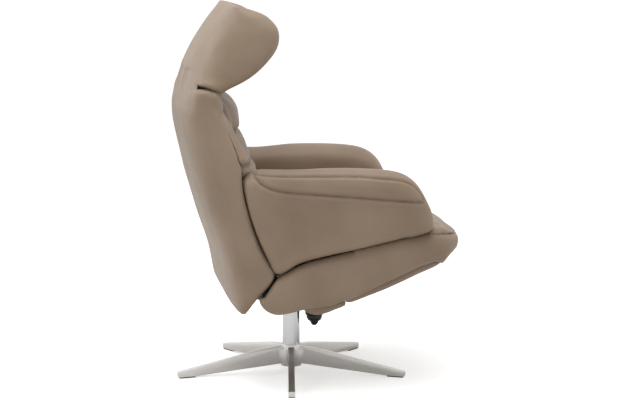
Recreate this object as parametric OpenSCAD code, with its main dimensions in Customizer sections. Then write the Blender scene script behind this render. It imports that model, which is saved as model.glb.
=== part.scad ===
// Swivel recliner on a five-blade star base.
// The chair faces -Y, and +Z is up. A side view gives each place as a distance
// forward of the seat line and a height above the floor. The seat line runs
// across the chair a little behind the swivel axis.

/* [Star base] */
// Reach of a blade from the swivel axis
blade_reach = 345; // [320:1:370]
// Turn of the base against the seat
base_turn = 8; // [0:1:18]
// Number of blades
blade_count = 5; // [4:1:6]
// Thickness of a blade
blade_t = 18; // [14:1:24]
// Height of a blade's top edge at the hub
blade_root_top = 76; // [70:1:85]
// Height of a blade's lower edge at the hub
blade_root_low = 22; // [18:1:30]
// Height of a blade's top edge at its tip
blade_tip_top = 17; // [13:1:22]
// Outer radius of the hub
hub_r = 30; // [28:0.5:36]
// Height of the hub's underside
hub_low = 14; // [8:1:18]
// Thickness of a glide pad
glide_t = 3; // [2:0.5:6]
// Length of a glide pad
glide_len = 50; // [30:1:60]

/* [Column] */
// Distance of the swivel axis before the seat line
axis_ahead = 50; // [44:1:54]
// Outer radius of the column tube
column_r = 25; // [23:0.5:27]
// Wall of the column tube
column_wall = 4; // [3:0.5:5]
// Height of the column tube's top
column_top = 244; // [240:1:246]
// Radius of the spindle
spindle_r = 14; // [12:0.5:16]
// Running clearance of a pin or spindle in its bore
run_gap = 0.05; // [0.03:0.01:0.08]

/* [Seat] */
// Half of the seat body's width
seat_half_w = 345; // [335:1:352]
// Length of the seat body from rear to nose
seat_len = 589; // [570:1:600]
// Distance of the seat body's rear end behind the seat line
seat_behind = 84; // [80:1:88]
// Height of the seat body's lowest edge
seat_low = 232; // [228:1:236]
// Rise of the underside from its lowest point to the nose
under_rise = 167; // [160:1:172]
// Rise of the seam under the arms
gap_rise = 248; // [244:1:256]
// Width of the dark gap between an arm and the seat body
seat_gap = 5; // [3:0.5:8]
// Thickness of the seat body's padded walls
seat_wall = 42; // [36:1:44]
// Height of the seat cushion's crown above the floor
seat_h = 470; // [462:1:478]

/* [Arms] */
// Distance of an arm's outer face from the middle
arm_out = 370; // [364:1:380]
// Distance of an arm's inner face from the middle
arm_in = 240; // [232:1:250]
// Toe-in of the outer face at the back seam
arm_toe = 36; // [25:1:40]
// Height of the arm's top
arm_top = 640; // [628:1:655]

/* [Back] */
// Distance of the recline axis behind the seat line
recline_behind = 80; // [78:1:82]
// Height of the recline axis
recline_h = 280; // [278:1:282]
// Height of the back's top
back_top = 836; // [825:1:850]
// Height of the back's lower edge
back_low = 233; // [228:1:238]
// Distance of the back's rearmost line behind the seat line
back_reach = 285; // [278:1:292]
// Half of the back's width
back_half_w = 332; // [325:1:334]
// Thickness of the shell's side walls
shell_side_t = 40; // [34:1:44]
// Thickness of the shell's rear wall
shell_rear_t = 26; // [20:1:30]
// Height of a quilted row of the back cushion
row_pitch = 93; // [85:1:110]
// Depth of a sewn channel
channel_deep = 13; // [6:1:18]

/* [Headrest] */
// Height of the headrest's top
head_top = 1094; // [1070:1:1115]
// Half of the headrest's width
head_half_w = 292; // [280:1:300]
// Thickness of a wing
wing_t = 74; // [60:1:84]
// Distance of the tilt axis behind the seat line
tilt_behind = 258; // [255:1:260]

/* [Leg rest] */
// Distance of the leg rest's axis behind the nose
leg_setback = 67; // [65:1:69]
// Depth of the leg rest's axis below the seat body's lower edge
leg_axis_drop = 29.4; // [28:0.2:31]
// Thickness of the leg rest's pad
leg_t = 36; // [32:1:38]
// Half of the leg rest's width
leg_half_w = 262; // [250:1:264]

/* [Knob] */
// Distance of the tension knob before the swivel axis
knob_ahead = 69; // [66:1:74]
// Radius of the knob
knob_r = 27; // [22:0.5:30]
// Height of the knob's tip above the floor
knob_tip = 131; // [124:1:140]
// Number of grip ribs on the knob
knob_ribs = 12; // [8:1:16]

/* [Hidden] */

// The seat line lies this far behind the middle of the chair's depth
seat_line = (seat_len - seat_behind - max(back_reach, blade_reach - axis_ahead)) / 2;
axis_back = seat_line - axis_ahead;
overrun = 1;
seat_clear = 0.3;
plate_t = 6;
bolt_r = 4;
bolt_head_r = 7;
bolt_head_h = 5;

function at(x, across, z) = [across, seat_line - x, z];
function sgn(v) = v < 0 ? -1 : 1;
function power(v, e) = sgn(v) * pow(abs(v), e);
function mix(a, b, t) = a + (b - a) * t;
function clamp01(t) = min(max(t, 0), 1);
function ease(t) = clamp01(t) * clamp01(t) * (3 - 2 * clamp01(t));
// Fullness of a padded form at a distance d from its border, rounded over r
function roundness(d, r) = d >= r ? 1 : max(0.12, sqrt(1 - pow(1 - d / r, 2)));
// Shares along a row with closer steps at both ends
function steps(n) = [for (i = [0 : n]) (1 - cos(180 * i / n)) / 2];

// A side drawing on local x forward and y up, centred across the chair
module side(w) {
    translate([0, seat_line, 0]) rotate([90, 0, -90])
        linear_extrude(height = w, center = true) children();
}
// The same drawing moved across the chair
module side_at(across, w) {
    translate([across, 0, 0]) side(w) children();
}
// A bar across the chair at a place of the side view
module cross_rod(x, z, r, from, to) {
    translate(at(x, from, z)) rotate([0, 90, 0]) cylinder(r = r, h = to - from, $fn = 48);
}
module both_sides() {
    children();
    mirror([1, 0, 0]) children();
}

// A closed padded form between two grids of points with the same rows and columns
module padded_form(front, rear) {
    rows = len(front);
    cols = len(front[0]);
    total = rows * cols;
    points = concat([for (row = front) each row], [for (row = rear) each row]);
    faces = concat(
        [for (i = [0 : rows - 2], j = [0 : cols - 2]) each [
            [i * cols + j, i * cols + j + 1, (i + 1) * cols + j + 1],
            [i * cols + j, (i + 1) * cols + j + 1, (i + 1) * cols + j]]],
        [for (i = [0 : rows - 2], j = [0 : cols - 2]) each [
            [total + i * cols + j, total + (i + 1) * cols + j + 1, total + i * cols + j + 1],
            [total + i * cols + j, total + (i + 1) * cols + j, total + (i + 1) * cols + j + 1]]],
        [for (j = [0 : cols - 2]) each [
            [j, total + j, total + j + 1],
            [j, total + j + 1, j + 1]]],
        [for (j = [0 : cols - 2]) each [
            [total - cols + j, total - cols + j + 1, 2 * total - cols + j + 1],
            [total - cols + j, 2 * total - cols + j + 1, 2 * total - cols + j]]],
        [for (i = [0 : rows - 2]) each [
            [i * cols, (i + 1) * cols, total + (i + 1) * cols],
            [i * cols, total + (i + 1) * cols, total + i * cols]]],
        [for (i = [0 : rows - 2]) each [
            [i * cols + cols - 1, total + i * cols + cols - 1, total + (i + 2) * cols - 1],
            [i * cols + cols - 1, total + (i + 2) * cols - 1, (i + 2) * cols - 1]]]);
    polyhedron(points = points, faces = faces, convexity = 6);
}

// Lower edge of the seat body, as shares of its length and of the underside's rise
under_shares = [[0, 0.22], [0.0145, 0.13], [0.043, 0.05], [0.077, 0], [0.125, 0.02], [0.193, 0.07],
    [0.3375, 0.2], [0.424, 0.31], [0.569, 0.52], [0.704, 0.75], [0.8, 0.94], [0.85, 0.99], [0.93, 0.965], [1, 0.89]];
// Seam between the arms and the seat body, as shares of the seat's length and of the seam's rise
gap_shares = [[0, 0.17], [0.04, 0.28], [0.082, 0.43], [0.114, 0.47], [0.17, 0.56],
    [0.239, 0.635], [0.331, 0.695], [0.47, 0.785], [0.61, 0.865], [0.703, 0.91],
    [0.768, 0.95], [0.803, 0.99], [1, 1]];
function seat_share(x) = (x + seat_behind) / seat_len;
function under_z(x) = seat_low + under_rise * lookup(seat_share(x), under_shares);
function gap_z(x) = seat_low + gap_rise * lookup(seat_share(x), gap_shares);
seat_front = seat_len - seat_behind;
leg_axis_x = seat_front - leg_setback;
leg_axis_h = under_z(leg_axis_x) - leg_axis_drop;

// Seam between the back and the arms, from its upper end to the seat
seam_run = 92;
seam_rear = 128;
seam_shares = [[0, 1], [0.12, 0.787], [0.29, 0.57], [0.5, 0.357], [0.76, 0.164], [1, 0]];
seam_low = gap_z(seam_run - seam_rear);
seam_high = seam_low + 0.83 * (arm_top - seam_low);
seam_by_x = [for (p = seam_shares) [p[0] * seam_run - seam_rear, mix(seam_low, seam_high, p[1])]];
seam_by_z = [for (i = [len(seam_shares) - 1 : -1 : 0]) [seam_by_x[i][1], seam_by_x[i][0]]];

// Star base
hub_neck = 2;
blade_from = column_r + hub_neck / 2;
blade_top_shares = [[0, 0.945], [0.24, 0.79], [0.49, 0.54], [0.848, 0.17], [0.984, 0.03], [1, 0]];
blade_outline = concat(
    [for (p = blade_top_shares)
        [mix(blade_from, blade_reach, p[0]), mix(blade_tip_top, blade_root_top, p[1])]],
    [[blade_reach, glide_t], [blade_reach - glide_len, glide_t],
        [hub_r - hub_neck, blade_root_low], [blade_from, blade_root_low]]);
function blade_angle(i) = 180 - base_turn + i * 360 / blade_count;
hub_fillet_r = 22;
hub_fillet_drop = 11;
column_seat = 30;

module blade() {
    rotate([90, 0, 0]) linear_extrude(height = blade_t, center = true) polygon(blade_outline);
}
// Concave web between two neighbouring blades, tangent to both and to the hub
module hub_fillet() {
    gap = 180 / blade_count;
    centre = (hub_fillet_r + blade_t / 2) / sin(gap);
    run = centre * cos(gap);
    low = blade_root_low + hub_neck;
    translate([0, 0, low]) linear_extrude(height = blade_root_top - hub_fillet_drop - low)
        difference() {
            polygon([[blade_from * cos(gap), -blade_from * sin(gap)], [run * cos(gap), -run * sin(gap)],
                [centre, 0], [run * cos(gap), run * sin(gap)],
                [blade_from * cos(gap), blade_from * sin(gap)], [blade_from, 0]]);
            translate([centre, 0]) circle(r = hub_fillet_r, $fn = 48);
        }
}
module star_base() {
    color("silver") translate([0, axis_back, 0]) difference() {
        union() {
            for (i = [0 : blade_count - 1]) rotate([0, 0, blade_angle(i)]) blade();
            translate([0, 0, hub_low])
                cylinder(r = hub_r, h = blade_root_top + hub_neck - hub_low, $fn = 64);
            for (i = [0 : blade_count - 1])
                rotate([0, 0, blade_angle(i + 0.5)]) hub_fillet();
        }
        translate([0, 0, column_seat]) cylinder(r = column_r, h = blade_root_top, $fn = 64);
        translate([0, 0, hub_low - overrun])
            cylinder(r = spindle_r - hub_neck, h = column_seat, $fn = 64);
    }
}
module foot_glides() {
    color("dimgray") translate([0, axis_back, 0]) for (i = [0 : blade_count - 1])
        rotate([0, 0, blade_angle(i)])
            translate([blade_reach - glide_len, -blade_t / 2, 0])
            cube([glide_len - glide_t, blade_t, glide_t]);
}

// Column and swivel
bush_len = 30;
bush_flange_t = 3;
washer_t = 2;
flange_r = 42;
flange_t = 6;
column_bore_r = column_r - column_wall;
flange_z = column_top + bush_flange_t + washer_t;
ring_t = 2;
ring_w = 3;
ring_below = 4;
lower_bush_z = column_seat + ring_t + ring_below;

module column_tube() {
    color("gainsboro") translate([0, axis_back, column_seat]) difference() {
        cylinder(r = column_r, h = column_top - column_seat, $fn = 72);
        translate([0, 0, -overrun])
            cylinder(r = column_bore_r, h = column_top - column_seat + 2 * overrun, $fn = 72);
    }
}
module column_bushes() {
    color("ivory") translate([0, axis_back, 0]) difference() {
        union() {
            translate([0, 0, lower_bush_z]) cylinder(r = column_bore_r, h = bush_len, $fn = 64);
            translate([0, 0, column_top - bush_len])
                cylinder(r = column_bore_r, h = bush_len, $fn = 64);
            translate([0, 0, column_top]) cylinder(r = column_r, h = bush_flange_t, $fn = 64);
        }
        translate([0, 0, column_seat])
            cylinder(r = spindle_r + run_gap, h = column_top, $fn = 64);
    }
}
module thrust_washer() {
    color("lightgray") translate([0, axis_back, column_top + bush_flange_t]) difference() {
        cylinder(r = column_r - hub_neck, h = washer_t, $fn = 64);
        translate([0, 0, -overrun])
            cylinder(r = spindle_r + run_gap, h = washer_t + 2 * overrun, $fn = 64);
    }
}
bolt_circle_r = 33;
module plate_bolt_places() {
    for (i = [0 : 3]) rotate([0, 0, 45 + i * 90]) translate([bolt_circle_r, 0, 0]) children();
}
module spindle() {
    color("darkgray") translate([0, axis_back, 0]) difference() {
        union() {
            translate([0, 0, column_seat + ring_t])
                cylinder(r = spindle_r, h = flange_z - column_seat - ring_t, $fn = 64);
            translate([0, 0, flange_z]) cylinder(r = flange_r, h = flange_t, $fn = 64);
        }
        translate([0, 0, flange_z - overrun]) plate_bolt_places()
            cylinder(r = bolt_r, h = flange_t + 2 * overrun, $fn = 32);
        translate([0, 0, lower_bush_z - ring_t - run_gap]) difference() {
            cylinder(r = spindle_r + overrun, h = ring_t, $fn = 64);
            translate([0, 0, -overrun])
                cylinder(r = spindle_r - overrun, h = ring_t + 2 * overrun, $fn = 64);
        }
    }
}
module retaining_ring() {
    color("dimgray") translate([0, axis_back, lower_bush_z - ring_t - run_gap]) difference() {
        cylinder(r = spindle_r + ring_w, h = ring_t, $fn = 64);
        translate([0, 0, -overrun])
            cylinder(r = spindle_r - overrun, h = ring_t + 2 * overrun, $fn = 64);
    }
}

// Chassis
plate_z = flange_z + flange_t;
plate_w = 190;
plate_rear = 60;
plate_front = 145;
knob_x = axis_ahead + knob_ahead;
rail_in = leg_half_w + 16;
rail_t = 6;
housing_h = 36;
housing_w = 150;
housing_r = 14;

module seat_plate() {
    color("dimgray") difference() {
        translate(at(plate_front, -plate_w / 2, plate_z))
            cube([plate_w, plate_front + plate_rear, plate_t]);
        translate([0, axis_back, plate_z - overrun]) plate_bolt_places()
            cylinder(r = bolt_r, h = plate_t + 2 * overrun, $fn = 32);
        translate(at(knob_x, 0, plate_z - overrun))
            cylinder(r = stem_r + overrun, h = plate_t + 2 * overrun, $fn = 48);
    }
}
module plate_bolts() {
    color("gray") translate([0, axis_back, flange_z]) plate_bolt_places() {
        translate([0, 0, -bolt_head_h]) cylinder(r = bolt_head_r, h = bolt_head_h, $fn = 6);
        cylinder(r = bolt_r, h = flange_t + plate_t, $fn = 32);
    }
}
module mechanism_housing() {
    low = plate_z + plate_t;
    color("dimgray") difference() {
        hull() for (x = [-plate_rear + housing_r, plate_front - housing_r],
            side = [-1, 1], top = [0, 1])
            translate(at(x, side * (housing_w / 2 - housing_r), top == 0 ? low : low + housing_h - housing_r))
                if (top == 0) cylinder(r = housing_r, h = overrun, $fn = 32);
                else sphere(r = housing_r, $fn = 32);
        translate([0, axis_back, low - overrun]) plate_bolt_places()
            cylinder(r = bolt_r + overrun, h = overrun * 3, $fn = 32);
        translate(at(knob_x, 0, low - overrun))
            cylinder(r = stem_r + run_gap, h = stem_in + overrun, $fn = 48);
    }
}
stem_r = 6;
stem_in = 14;
bar_r = 12;
bar_z = plate_z + plate_t + housing_h + seat_clear + bar_r;
rear_bar_ahead = 40;
rear_bar_x = rear_bar_ahead - recline_behind;
front_bar_behind = 35;
front_bar_x = plate_front - front_bar_behind;
rail_mid = [front_bar_x, bar_z + bar_r];
rail_mid_r = 32;
rail_rear_shift = 5;
rail_rear = [rear_bar_x + rail_rear_shift, bar_z - rail_rear_shift];
rail_rear_r = 22;
rail_eye_r = 11;
rail_front_r = 9;
leg_eye_r = 7.5;
rail_nose = 30;
rail_nose_lift = 6;
rail_front_x = leg_axis_x - rail_nose;
rail_front = [rail_front_x, under_z(rail_front_x) + rail_nose_lift];
pin_r = 6;
leg_pin_r = 4;
pin_head_t = 2;
deck_t = 8;
deck_rear_x = -30;
deck_lift = 1;
deck_fall = 25;
deck_rear_z = rail_mid[1] + rail_mid_r + deck_lift - deck_fall;
deck_front_z = rail_front[1] + rail_front_r + deck_lift / 2;
function deck_z(x) = mix(deck_rear_z, deck_front_z, (x - deck_rear_x) / (rail_front[0] - deck_rear_x));
bolt_behind = 25;
bolt_ahead = 45;
bolt_rise = 12;
arm_bolt_places = [[front_bar_x - bolt_behind, rail_mid[1]],
    [front_bar_x + bolt_ahead, rail_mid[1] + bolt_rise]];

module rail_link(a, ra, b, rb) {
    hull() {
        translate(a) circle(r = ra, $fn = 32);
        translate(b) circle(r = rb, $fn = 32);
    }
}
module side_rail(x0) {
    recline = [-recline_behind, recline_h];
    leg = [leg_axis_x, leg_axis_h];
    color("dimgray") difference() {
        side_at(x0, rail_t) {
            rail_link(recline, rail_eye_r, rail_rear, rail_rear_r);
            rail_link(rail_rear, rail_rear_r, rail_mid, rail_mid_r);
            rail_link(rail_mid, rail_mid_r, rail_front, rail_front_r);
            rail_link(rail_front, rail_front_r, leg, leg_eye_r);
        }
        side_at(x0, rail_t + 2 * overrun) {
            translate(recline) circle(r = pin_r + run_gap, $fn = 48);
            translate(leg) circle(r = leg_pin_r + run_gap, $fn = 48);
            for (p = arm_bolt_places) translate(p) circle(r = bolt_r + run_gap, $fn = 32);
        }
    }
}
module side_rail_left() { side_rail(rail_in + rail_t / 2); }
module side_rail_right() { side_rail(-rail_in - rail_t / 2); }
module front_crossbar() {
    color("dimgray") cross_rod(front_bar_x, bar_z, bar_r, -rail_in, rail_in);
}
module rear_crossbar() {
    color("dimgray") cross_rod(rear_bar_x, bar_z, bar_r, -rail_in, rail_in);
}
module recline_shaft() {
    color("gray") {
        cross_rod(-recline_behind, recline_h, pin_r, -rail_in - rail_t, rail_in + rail_t);
        both_sides() cross_rod(-recline_behind, recline_h, pin_r + pin_head_t,
            rail_in + rail_t, rail_in + rail_t + pin_head_t);
    }
}
module leg_rest_pins() {
    color("gray") both_sides() {
        cross_rod(leg_axis_x, leg_axis_h, leg_pin_r, leg_arm_in - pin_head_t, rail_in + rail_t);
        cross_rod(leg_axis_x, leg_axis_h, leg_pin_r + pin_head_t,
            rail_in + rail_t, rail_in + rail_t + pin_head_t);
    }
}
nose_len = 175;
nose_power = 4;
nose_start = seat_front - nose_len;
deck_side_gap = 3;
deck_front_x = nose_start + (nose_len - seat_wall)
    * pow(1 - pow((rail_in + rail_t) / (seat_half_w - seat_wall), nose_power), 1 / nose_power) - deck_side_gap;
module seat_deck() {
    color("burlywood") side(2 * (rail_in + rail_t))
        polygon([[deck_rear_x, deck_z(deck_rear_x)], [deck_front_x, deck_z(deck_front_x)],
            [deck_front_x, deck_z(deck_front_x) + deck_t], [deck_rear_x, deck_z(deck_rear_x) + deck_t]]);
}

// Seat body: a padded wall that runs forward, round the nose and back again
body_top_shares = [[0, 0.17], [0.04, 0.28], [0.082, 0.43], [0.114, 0.47], [0.17, 0.56],
    [0.239, 0.635], [0.331, 0.695], [0.47, 0.785], [0.61, 0.865], [0.703, 0.91],
    [0.768, 0.925], [0.803, 0.925], [0.88, 0.9], [1, 0.84]];
function body_top(x) = seat_low + gap_rise * lookup(seat_share(x), body_top_shares) - seat_gap;
function nose_x(across, half_w, len) =
    nose_start + len * pow(max(0, 1 - pow(abs(across) / half_w, nose_power)), 1 / nose_power);
body_side_shares = [0, 0.02, 0.06, 0.12, 0.2, 0.32, 0.46, 0.6, 0.74, 0.88];
nose_turns = [for (i = [0 : 12]) 90 - i * 15];
function nose_point(turn, half_w, len) = [
    nose_start + len * power(cos(turn), 2 / nose_power), half_w * power(sin(turn), 2 / nose_power)];
function body_path(half_w, len) = concat(
    [for (s = body_side_shares) [mix(-seat_behind, nose_start, s), half_w]],
    [for (t = nose_turns) nose_point(t, half_w, len)],
    [for (i = [len(body_side_shares) - 1 : -1 : 0])
        [mix(-seat_behind, nose_start, body_side_shares[i]), -half_w]]);
body_rows = [0, 0.12, 0.5, 0.88, 1];
body_edge_r = 16;
body_bulge = 4;
function body_point(p, v, half) = let (
        low = under_z(p[0]), top = max(body_top(p[0]), low + body_edge_r),
        z = mix(low, top, v), edge = min(z - low, top - z),
        lean = half * (roundness(edge, body_edge_r) * (seat_wall / 2 - body_bulge) + body_bulge * 4 * v * (1 - v)),
        wide = seat_half_w - seat_wall / 2 + lean)
    [p[0], p[1] * wide, z, lean];
module seat_body() {
    path = body_path(1, 1);
    function grid(half) = [for (v = body_rows) [for (i = [0 : len(path) - 1]) let (
            side_wall = i < len(body_side_shares) || i >= len(path) - len(body_side_shares),
            x0 = side_wall ? path[i][0] : nose_start,
            raw_x = side_wall ? path[i][0] : nose_start + (path[i][0] - nose_start) * nose_len,
            q = body_point([raw_x, path[i][1]], v, half),
            x = side_wall ? x0
                : nose_start + (path[i][0] - nose_start) * (nose_len - seat_wall / 2 + q[3]))
        at(x, q[1], q[2])]];
    color([0.52, 0.45, 0.38]) padded_form(grid(1), grid(-1));
}

// Seat cushion: between the arms, and out to both sides in front of them
cushion_top_shares = [[0, 0.16], [0.26, 0.4], [0.5, 0.68], [0.77, 1], [0.86, 0.97], [0.93, 0.78], [1, 0.42]];
cushion_rise = 46;
cushion_rear_x = -33;
wing_setback = 110;
cushion_wing_x = seat_front - wing_setback;
cushion_side_gap = 3;
cushion_len = nose_len - 8;
cushion_half_w = seat_half_w - 9;
cushion_edge_r = 26;
cushion_crown = 8;
cushion_body_half = arm_in - cushion_side_gap;
cushion_across_shares = [0, 0.2, 0.4, 0.56, 0.66];
cushion_wing_shares = [0.75, 0.85, 0.94, 0.985];
cushion_half = concat([for (s = cushion_across_shares) s * cushion_half_w],
    [cushion_body_half - cushion_side_gap, cushion_body_half, cushion_body_half + cushion_side_gap],
    [for (s = cushion_wing_shares) s * cushion_half_w]);
cushion_across = concat([for (i = [len(cushion_half) - 1 : -1 : 1]) -cushion_half[i]], cushion_half);
function cushion_from(across) = abs(across) > cushion_body_half ? cushion_wing_x : cushion_rear_x;
function cushion_to(across) = nose_x(across, cushion_half_w, cushion_len);
function cushion_low(x) = max(deck_z(x) + deck_t, x > cushion_wing_x - cushion_side_gap ? body_top(x) : 0)
    + seat_clear;
function cushion_side(x, across) = x < cushion_wing_x
    ? cushion_body_half - abs(across) + cushion_side_gap : cushion_half_w - abs(across);
function cushion_top(x, across) = let (
        edge = min(min(x - cushion_from(across), cushion_to(across) - x), cushion_side(x, across)),
        full = seat_h - cushion_rise * (1 - lookup((x - cushion_rear_x) / (seat_front - cushion_rear_x),
            cushion_top_shares)) - cushion_crown * pow(across / cushion_half_w, 2))
    mix(cushion_low(x), full, roundness(max(edge, 0), cushion_edge_r));
module seat_cushion() {
    function grid(top) = [for (v = steps(12)) [for (c = cushion_across) let (
            x = mix(cushion_from(c), cushion_to(c), v))
        at(x, c, top ? cushion_top(x, c) : cushion_low(x))]];
    color([0.56, 0.49, 0.42]) padded_form(grid(true), grid(false));
}

// Arm: outline of the side view as columns from the back seam to the front
arm_rear = -seam_rear;
arm_gap = 2;
arm_front = cushion_wing_x - arm_gap;
arm_len = arm_front - arm_rear;
arm_top_shares = [[0, 0.825], [0.006, 0.9], [0.035, 0.965], [0.1, 0.985], [0.25, 0.99], [0.44, 1],
    [0.56, 1], [0.735, 0.978], [0.835, 0.94], [0.9, 0.88], [0.945, 0.8], [0.975, 0.7],
    [0.99, 0.6], [1, 0.48]];
arm_columns = [0, 0.006, 0.03, 0.06, 0.1, 0.14, 0.18, 0.28, 0.4, 0.52, 0.64, 0.74, 0.83, 0.9, 0.945,
    0.975, 0.99, 1];
arm_rows = [0, 0.04, 0.14, 0.4, 0.62, 0.78, 0.9, 0.97, 1];
arm_edge_r = 52;
arm_low_r = 15;
arm_front_r = 40;
arm_rear_r = 9;
function arm_low(x) = x < seam_run - seam_rear ? lookup(x, seam_by_x) : gap_z(x);
function arm_high(x) = seam_low + (arm_top - seam_low) * lookup((x - arm_rear) / arm_len, arm_top_shares);
function arm_outer(x) = arm_out - arm_toe * pow(1 - clamp01((x - arm_rear) / arm_len), 2);
function arm_point(s, v, half) = let (
        x = mix(arm_rear, arm_front, s),
        low = arm_low(x) + (x < seam_run - seam_rear ? seat_clear : 0),
        top = max(arm_high(x), low + arm_rear_r), z = mix(low, top, v),
        full = min(roundness(z - low, arm_low_r), roundness(top - z, min(arm_edge_r, (top - low) / 2)),
            roundness(x - arm_rear, arm_rear_r), roundness(arm_front - x, arm_front_r)),
        outer = arm_outer(x), mid_x = (outer + arm_in) / 2)
    at(x + seat_clear, mid_x + half * full * (outer - arm_in) / 2, z);
module arm(side) {
    function grid(half) = [for (v = arm_rows) [for (s = arm_columns) arm_point(s, v, half)]];
    color([0.5, 0.44, 0.37]) mirror([side < 0 ? 1 : 0, 0, 0]) padded_form(grid(1), grid(-1));
}
module arm_left() { arm(1); }
module arm_right() { arm(-1); }
bracket_behind = 45;
bracket_ahead = 70;
bracket_fall = 22;
bracket_slope = 20;
bracket_gap = 0.4;
bracket_from = front_bar_x - bracket_behind;
bracket_to = front_bar_x + bracket_ahead;
bracket_low = rail_mid[1] - bracket_fall;
arm_low_facets = [for (s = arm_columns) let (x = mix(arm_rear, arm_front, s)) [x + seat_clear, arm_low(x)]];
module arm_brackets() {
    color("dimgray") both_sides() difference() {
        side_at(rail_in + rail_t * 1.5 + seat_clear, rail_t) polygon(concat(
            [for (x = steps(16)) let (px = mix(bracket_from, bracket_to, x))
                [px, lookup(px, arm_low_facets) - bracket_gap]],
            [[bracket_to, bracket_low + bracket_slope], [bracket_from, bracket_low]]));
        side_at(rail_in + rail_t * 1.5, 2 * rail_t) for (p = arm_bolt_places)
            translate(p) circle(r = bolt_r + run_gap, $fn = 32);
    }
}
module arm_bolts() {
    color("gray") both_sides() for (p = arm_bolt_places) {
        cross_rod(p[0], p[1], bolt_r, rail_in, rail_in + 2 * rail_t + seat_clear);
        cross_rod(p[0], p[1], bolt_head_r, rail_in + 2 * rail_t + seat_clear,
            rail_in + 2 * rail_t + seat_clear + bolt_head_h / 2);
    }
}

// Leather cover under the mechanism and the folded leg rest share one underside
leg_drop = 58;
leg_drop_shares = [[0, 0.3], [0.215, 0.3], [0.25, 0.58], [0.28, 0.78], [0.33, 0.84], [0.44, 0.78],
    [0.59, 0.9], [0.74, 1.03], [0.815, 1.1], [0.86, 1], [0.89, 0.75], [1, 0.6]];
function leg_under(x) = under_z(x) - leg_drop * lookup(seat_share(x), leg_drop_shares);
split_x = 166;
split_gap = 2;
cover_from = 46;
cover_half_w = leg_half_w;
cover_thin = 10;
cover_r = 9;
pad_across_shares = [-1, -0.985, -0.94, -0.8, -0.4, 0, 0.4, 0.8, 0.94, 0.985, 1];
// One side of the form: every place moves from the middle of the thickness to the skin
function under_grid(from, to, half_w, r, skin) = [for (v = steps(10)) [for (c = pad_across_shares) let (
        x = mix(from, to, v), edge = min(x - from, to - x, half_w * (1 - abs(c))),
        low = leg_under(x), high = under_upper(x, to))
    at(x, c * half_w, mix((low + high) / 2, skin == 0 ? low : high, roundness(edge, r)))]];
module under_form(from, to, half_w, r) {
    padded_form(under_grid(from, to, half_w, r, 1), under_grid(from, to, half_w, r, 0));
}
function under_upper(x, to) = to > split_x ? leg_under(x) + leg_t
    : max(leg_under(x) + cover_thin, plate_z - seat_clear);
module underside_cover() {
    color([0.5, 0.44, 0.37]) difference() {
        under_form(cover_from, split_x - split_gap, cover_half_w, cover_r);
        translate(at(knob_x, 0, knob_tip)) cylinder(r = stem_r + 2, h = plate_z, $fn = 40);
        translate(at(axis_ahead, 0, knob_tip)) cylinder(r = flange_r + 4, h = plate_z, $fn = 72);
    }
}
leg_lap = 14;
leg_end = leg_axis_x + leg_lap;
module leg_rest_pad() {
    color([0.5, 0.44, 0.37]) under_form(pad_from, leg_end, leg_half_w, leg_t / 2);
}
board_t = 9;
board_behind = 44;
board_inset = 28;
board_gap = 0.3;
pad_from = split_x + split_gap;
board_from = pad_from + board_inset;
board_to = leg_axis_x - board_behind;
pad_top_facets = [for (v = steps(10)) let (x = mix(pad_from, leg_end, v)) [x, leg_under(x) + leg_t]];
leg_arm_in = leg_half_w + 8;
leg_arm_t = 5;
leg_arm_r = 6;
arm_inset = 14;
function board_z(x) = lookup(x, pad_top_facets) + board_gap;
module leg_rest_board() {
    color("burlywood") side(2 * leg_arm_in)
        polygon(concat([for (s = steps(20)) let (x = mix(board_from, board_to, s)) [x, board_z(x)]],
            [for (s = steps(20)) let (x = mix(board_to, board_from, s)) [x, board_z(x) + board_t]]));
}
module leg_rest_arms() {
    eye = [leg_axis_x, leg_axis_h];
    mid_x = board_to - arm_inset;
    low_x = board_from + arm_inset;
    mid = [mid_x, board_z(mid_x) + board_t / 2];
    low = [low_x, board_z(low_x) + board_t / 2];
    color("dimgray") both_sides() difference() {
        side_at(leg_arm_in + leg_arm_t / 2, leg_arm_t) {
            rail_link(eye, leg_eye_r, mid, leg_arm_r);
            rail_link(mid, leg_arm_r, low, leg_arm_r);
        }
        side_at(leg_arm_in + leg_arm_t / 2, leg_arm_t + 2 * overrun)
            translate(eye) circle(r = leg_pin_r + run_gap, $fn = 48);
    }
}

// Tension knob: a stepped grip cone on a stem that goes up into the housing
knob_clear = 2;
knob_top = min([for (side = [-1, 0, 1]) leg_under(knob_x + side * knob_r)]) - knob_clear;
knob_tip_r = 9;
knob_step = 4;
knob_grip_h = 34;
knob_rib_r = 3;
module tension_knob() {
    grip_low = knob_tip + knob_grip_h;
    color([0.1, 0.1, 0.11]) translate(at(knob_x, 0, 0)) difference() {
        union() {
            translate([0, 0, knob_tip]) rotate_extrude($fn = 72) polygon([[0, 0],
                [knob_tip_r - knob_step, 0], [knob_tip_r, knob_step],
                [knob_tip_r + knob_step, 3 * knob_step], [knob_r - 2 * knob_step, 4 * knob_step],
                [knob_r - knob_step, 6 * knob_step], [knob_r - knob_step, knob_grip_h - knob_step],
                [knob_r, knob_grip_h], [knob_r, knob_top - knob_tip - knob_step],
                [knob_r - knob_step, knob_top - knob_tip], [0, knob_top - knob_tip]]);
        }
        for (i = [0 : knob_ribs - 1]) rotate([0, 0, i * 360 / knob_ribs])
            translate([knob_r + knob_rib_r / 3, 0, grip_low + knob_step])
            cylinder(r = knob_rib_r, h = knob_top, $fn = 24);
        translate([0, 0, knob_top - stem_in]) cylinder(r = stem_r, h = knob_top, $fn = 48);
    }
}
module knob_stem() {
    low = knob_top - stem_in;
    color("gray") translate(at(knob_x, 0, low))
        cylinder(r = stem_r, h = plate_z + plate_t + stem_in - overrun - low, $fn = 48);
}

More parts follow.
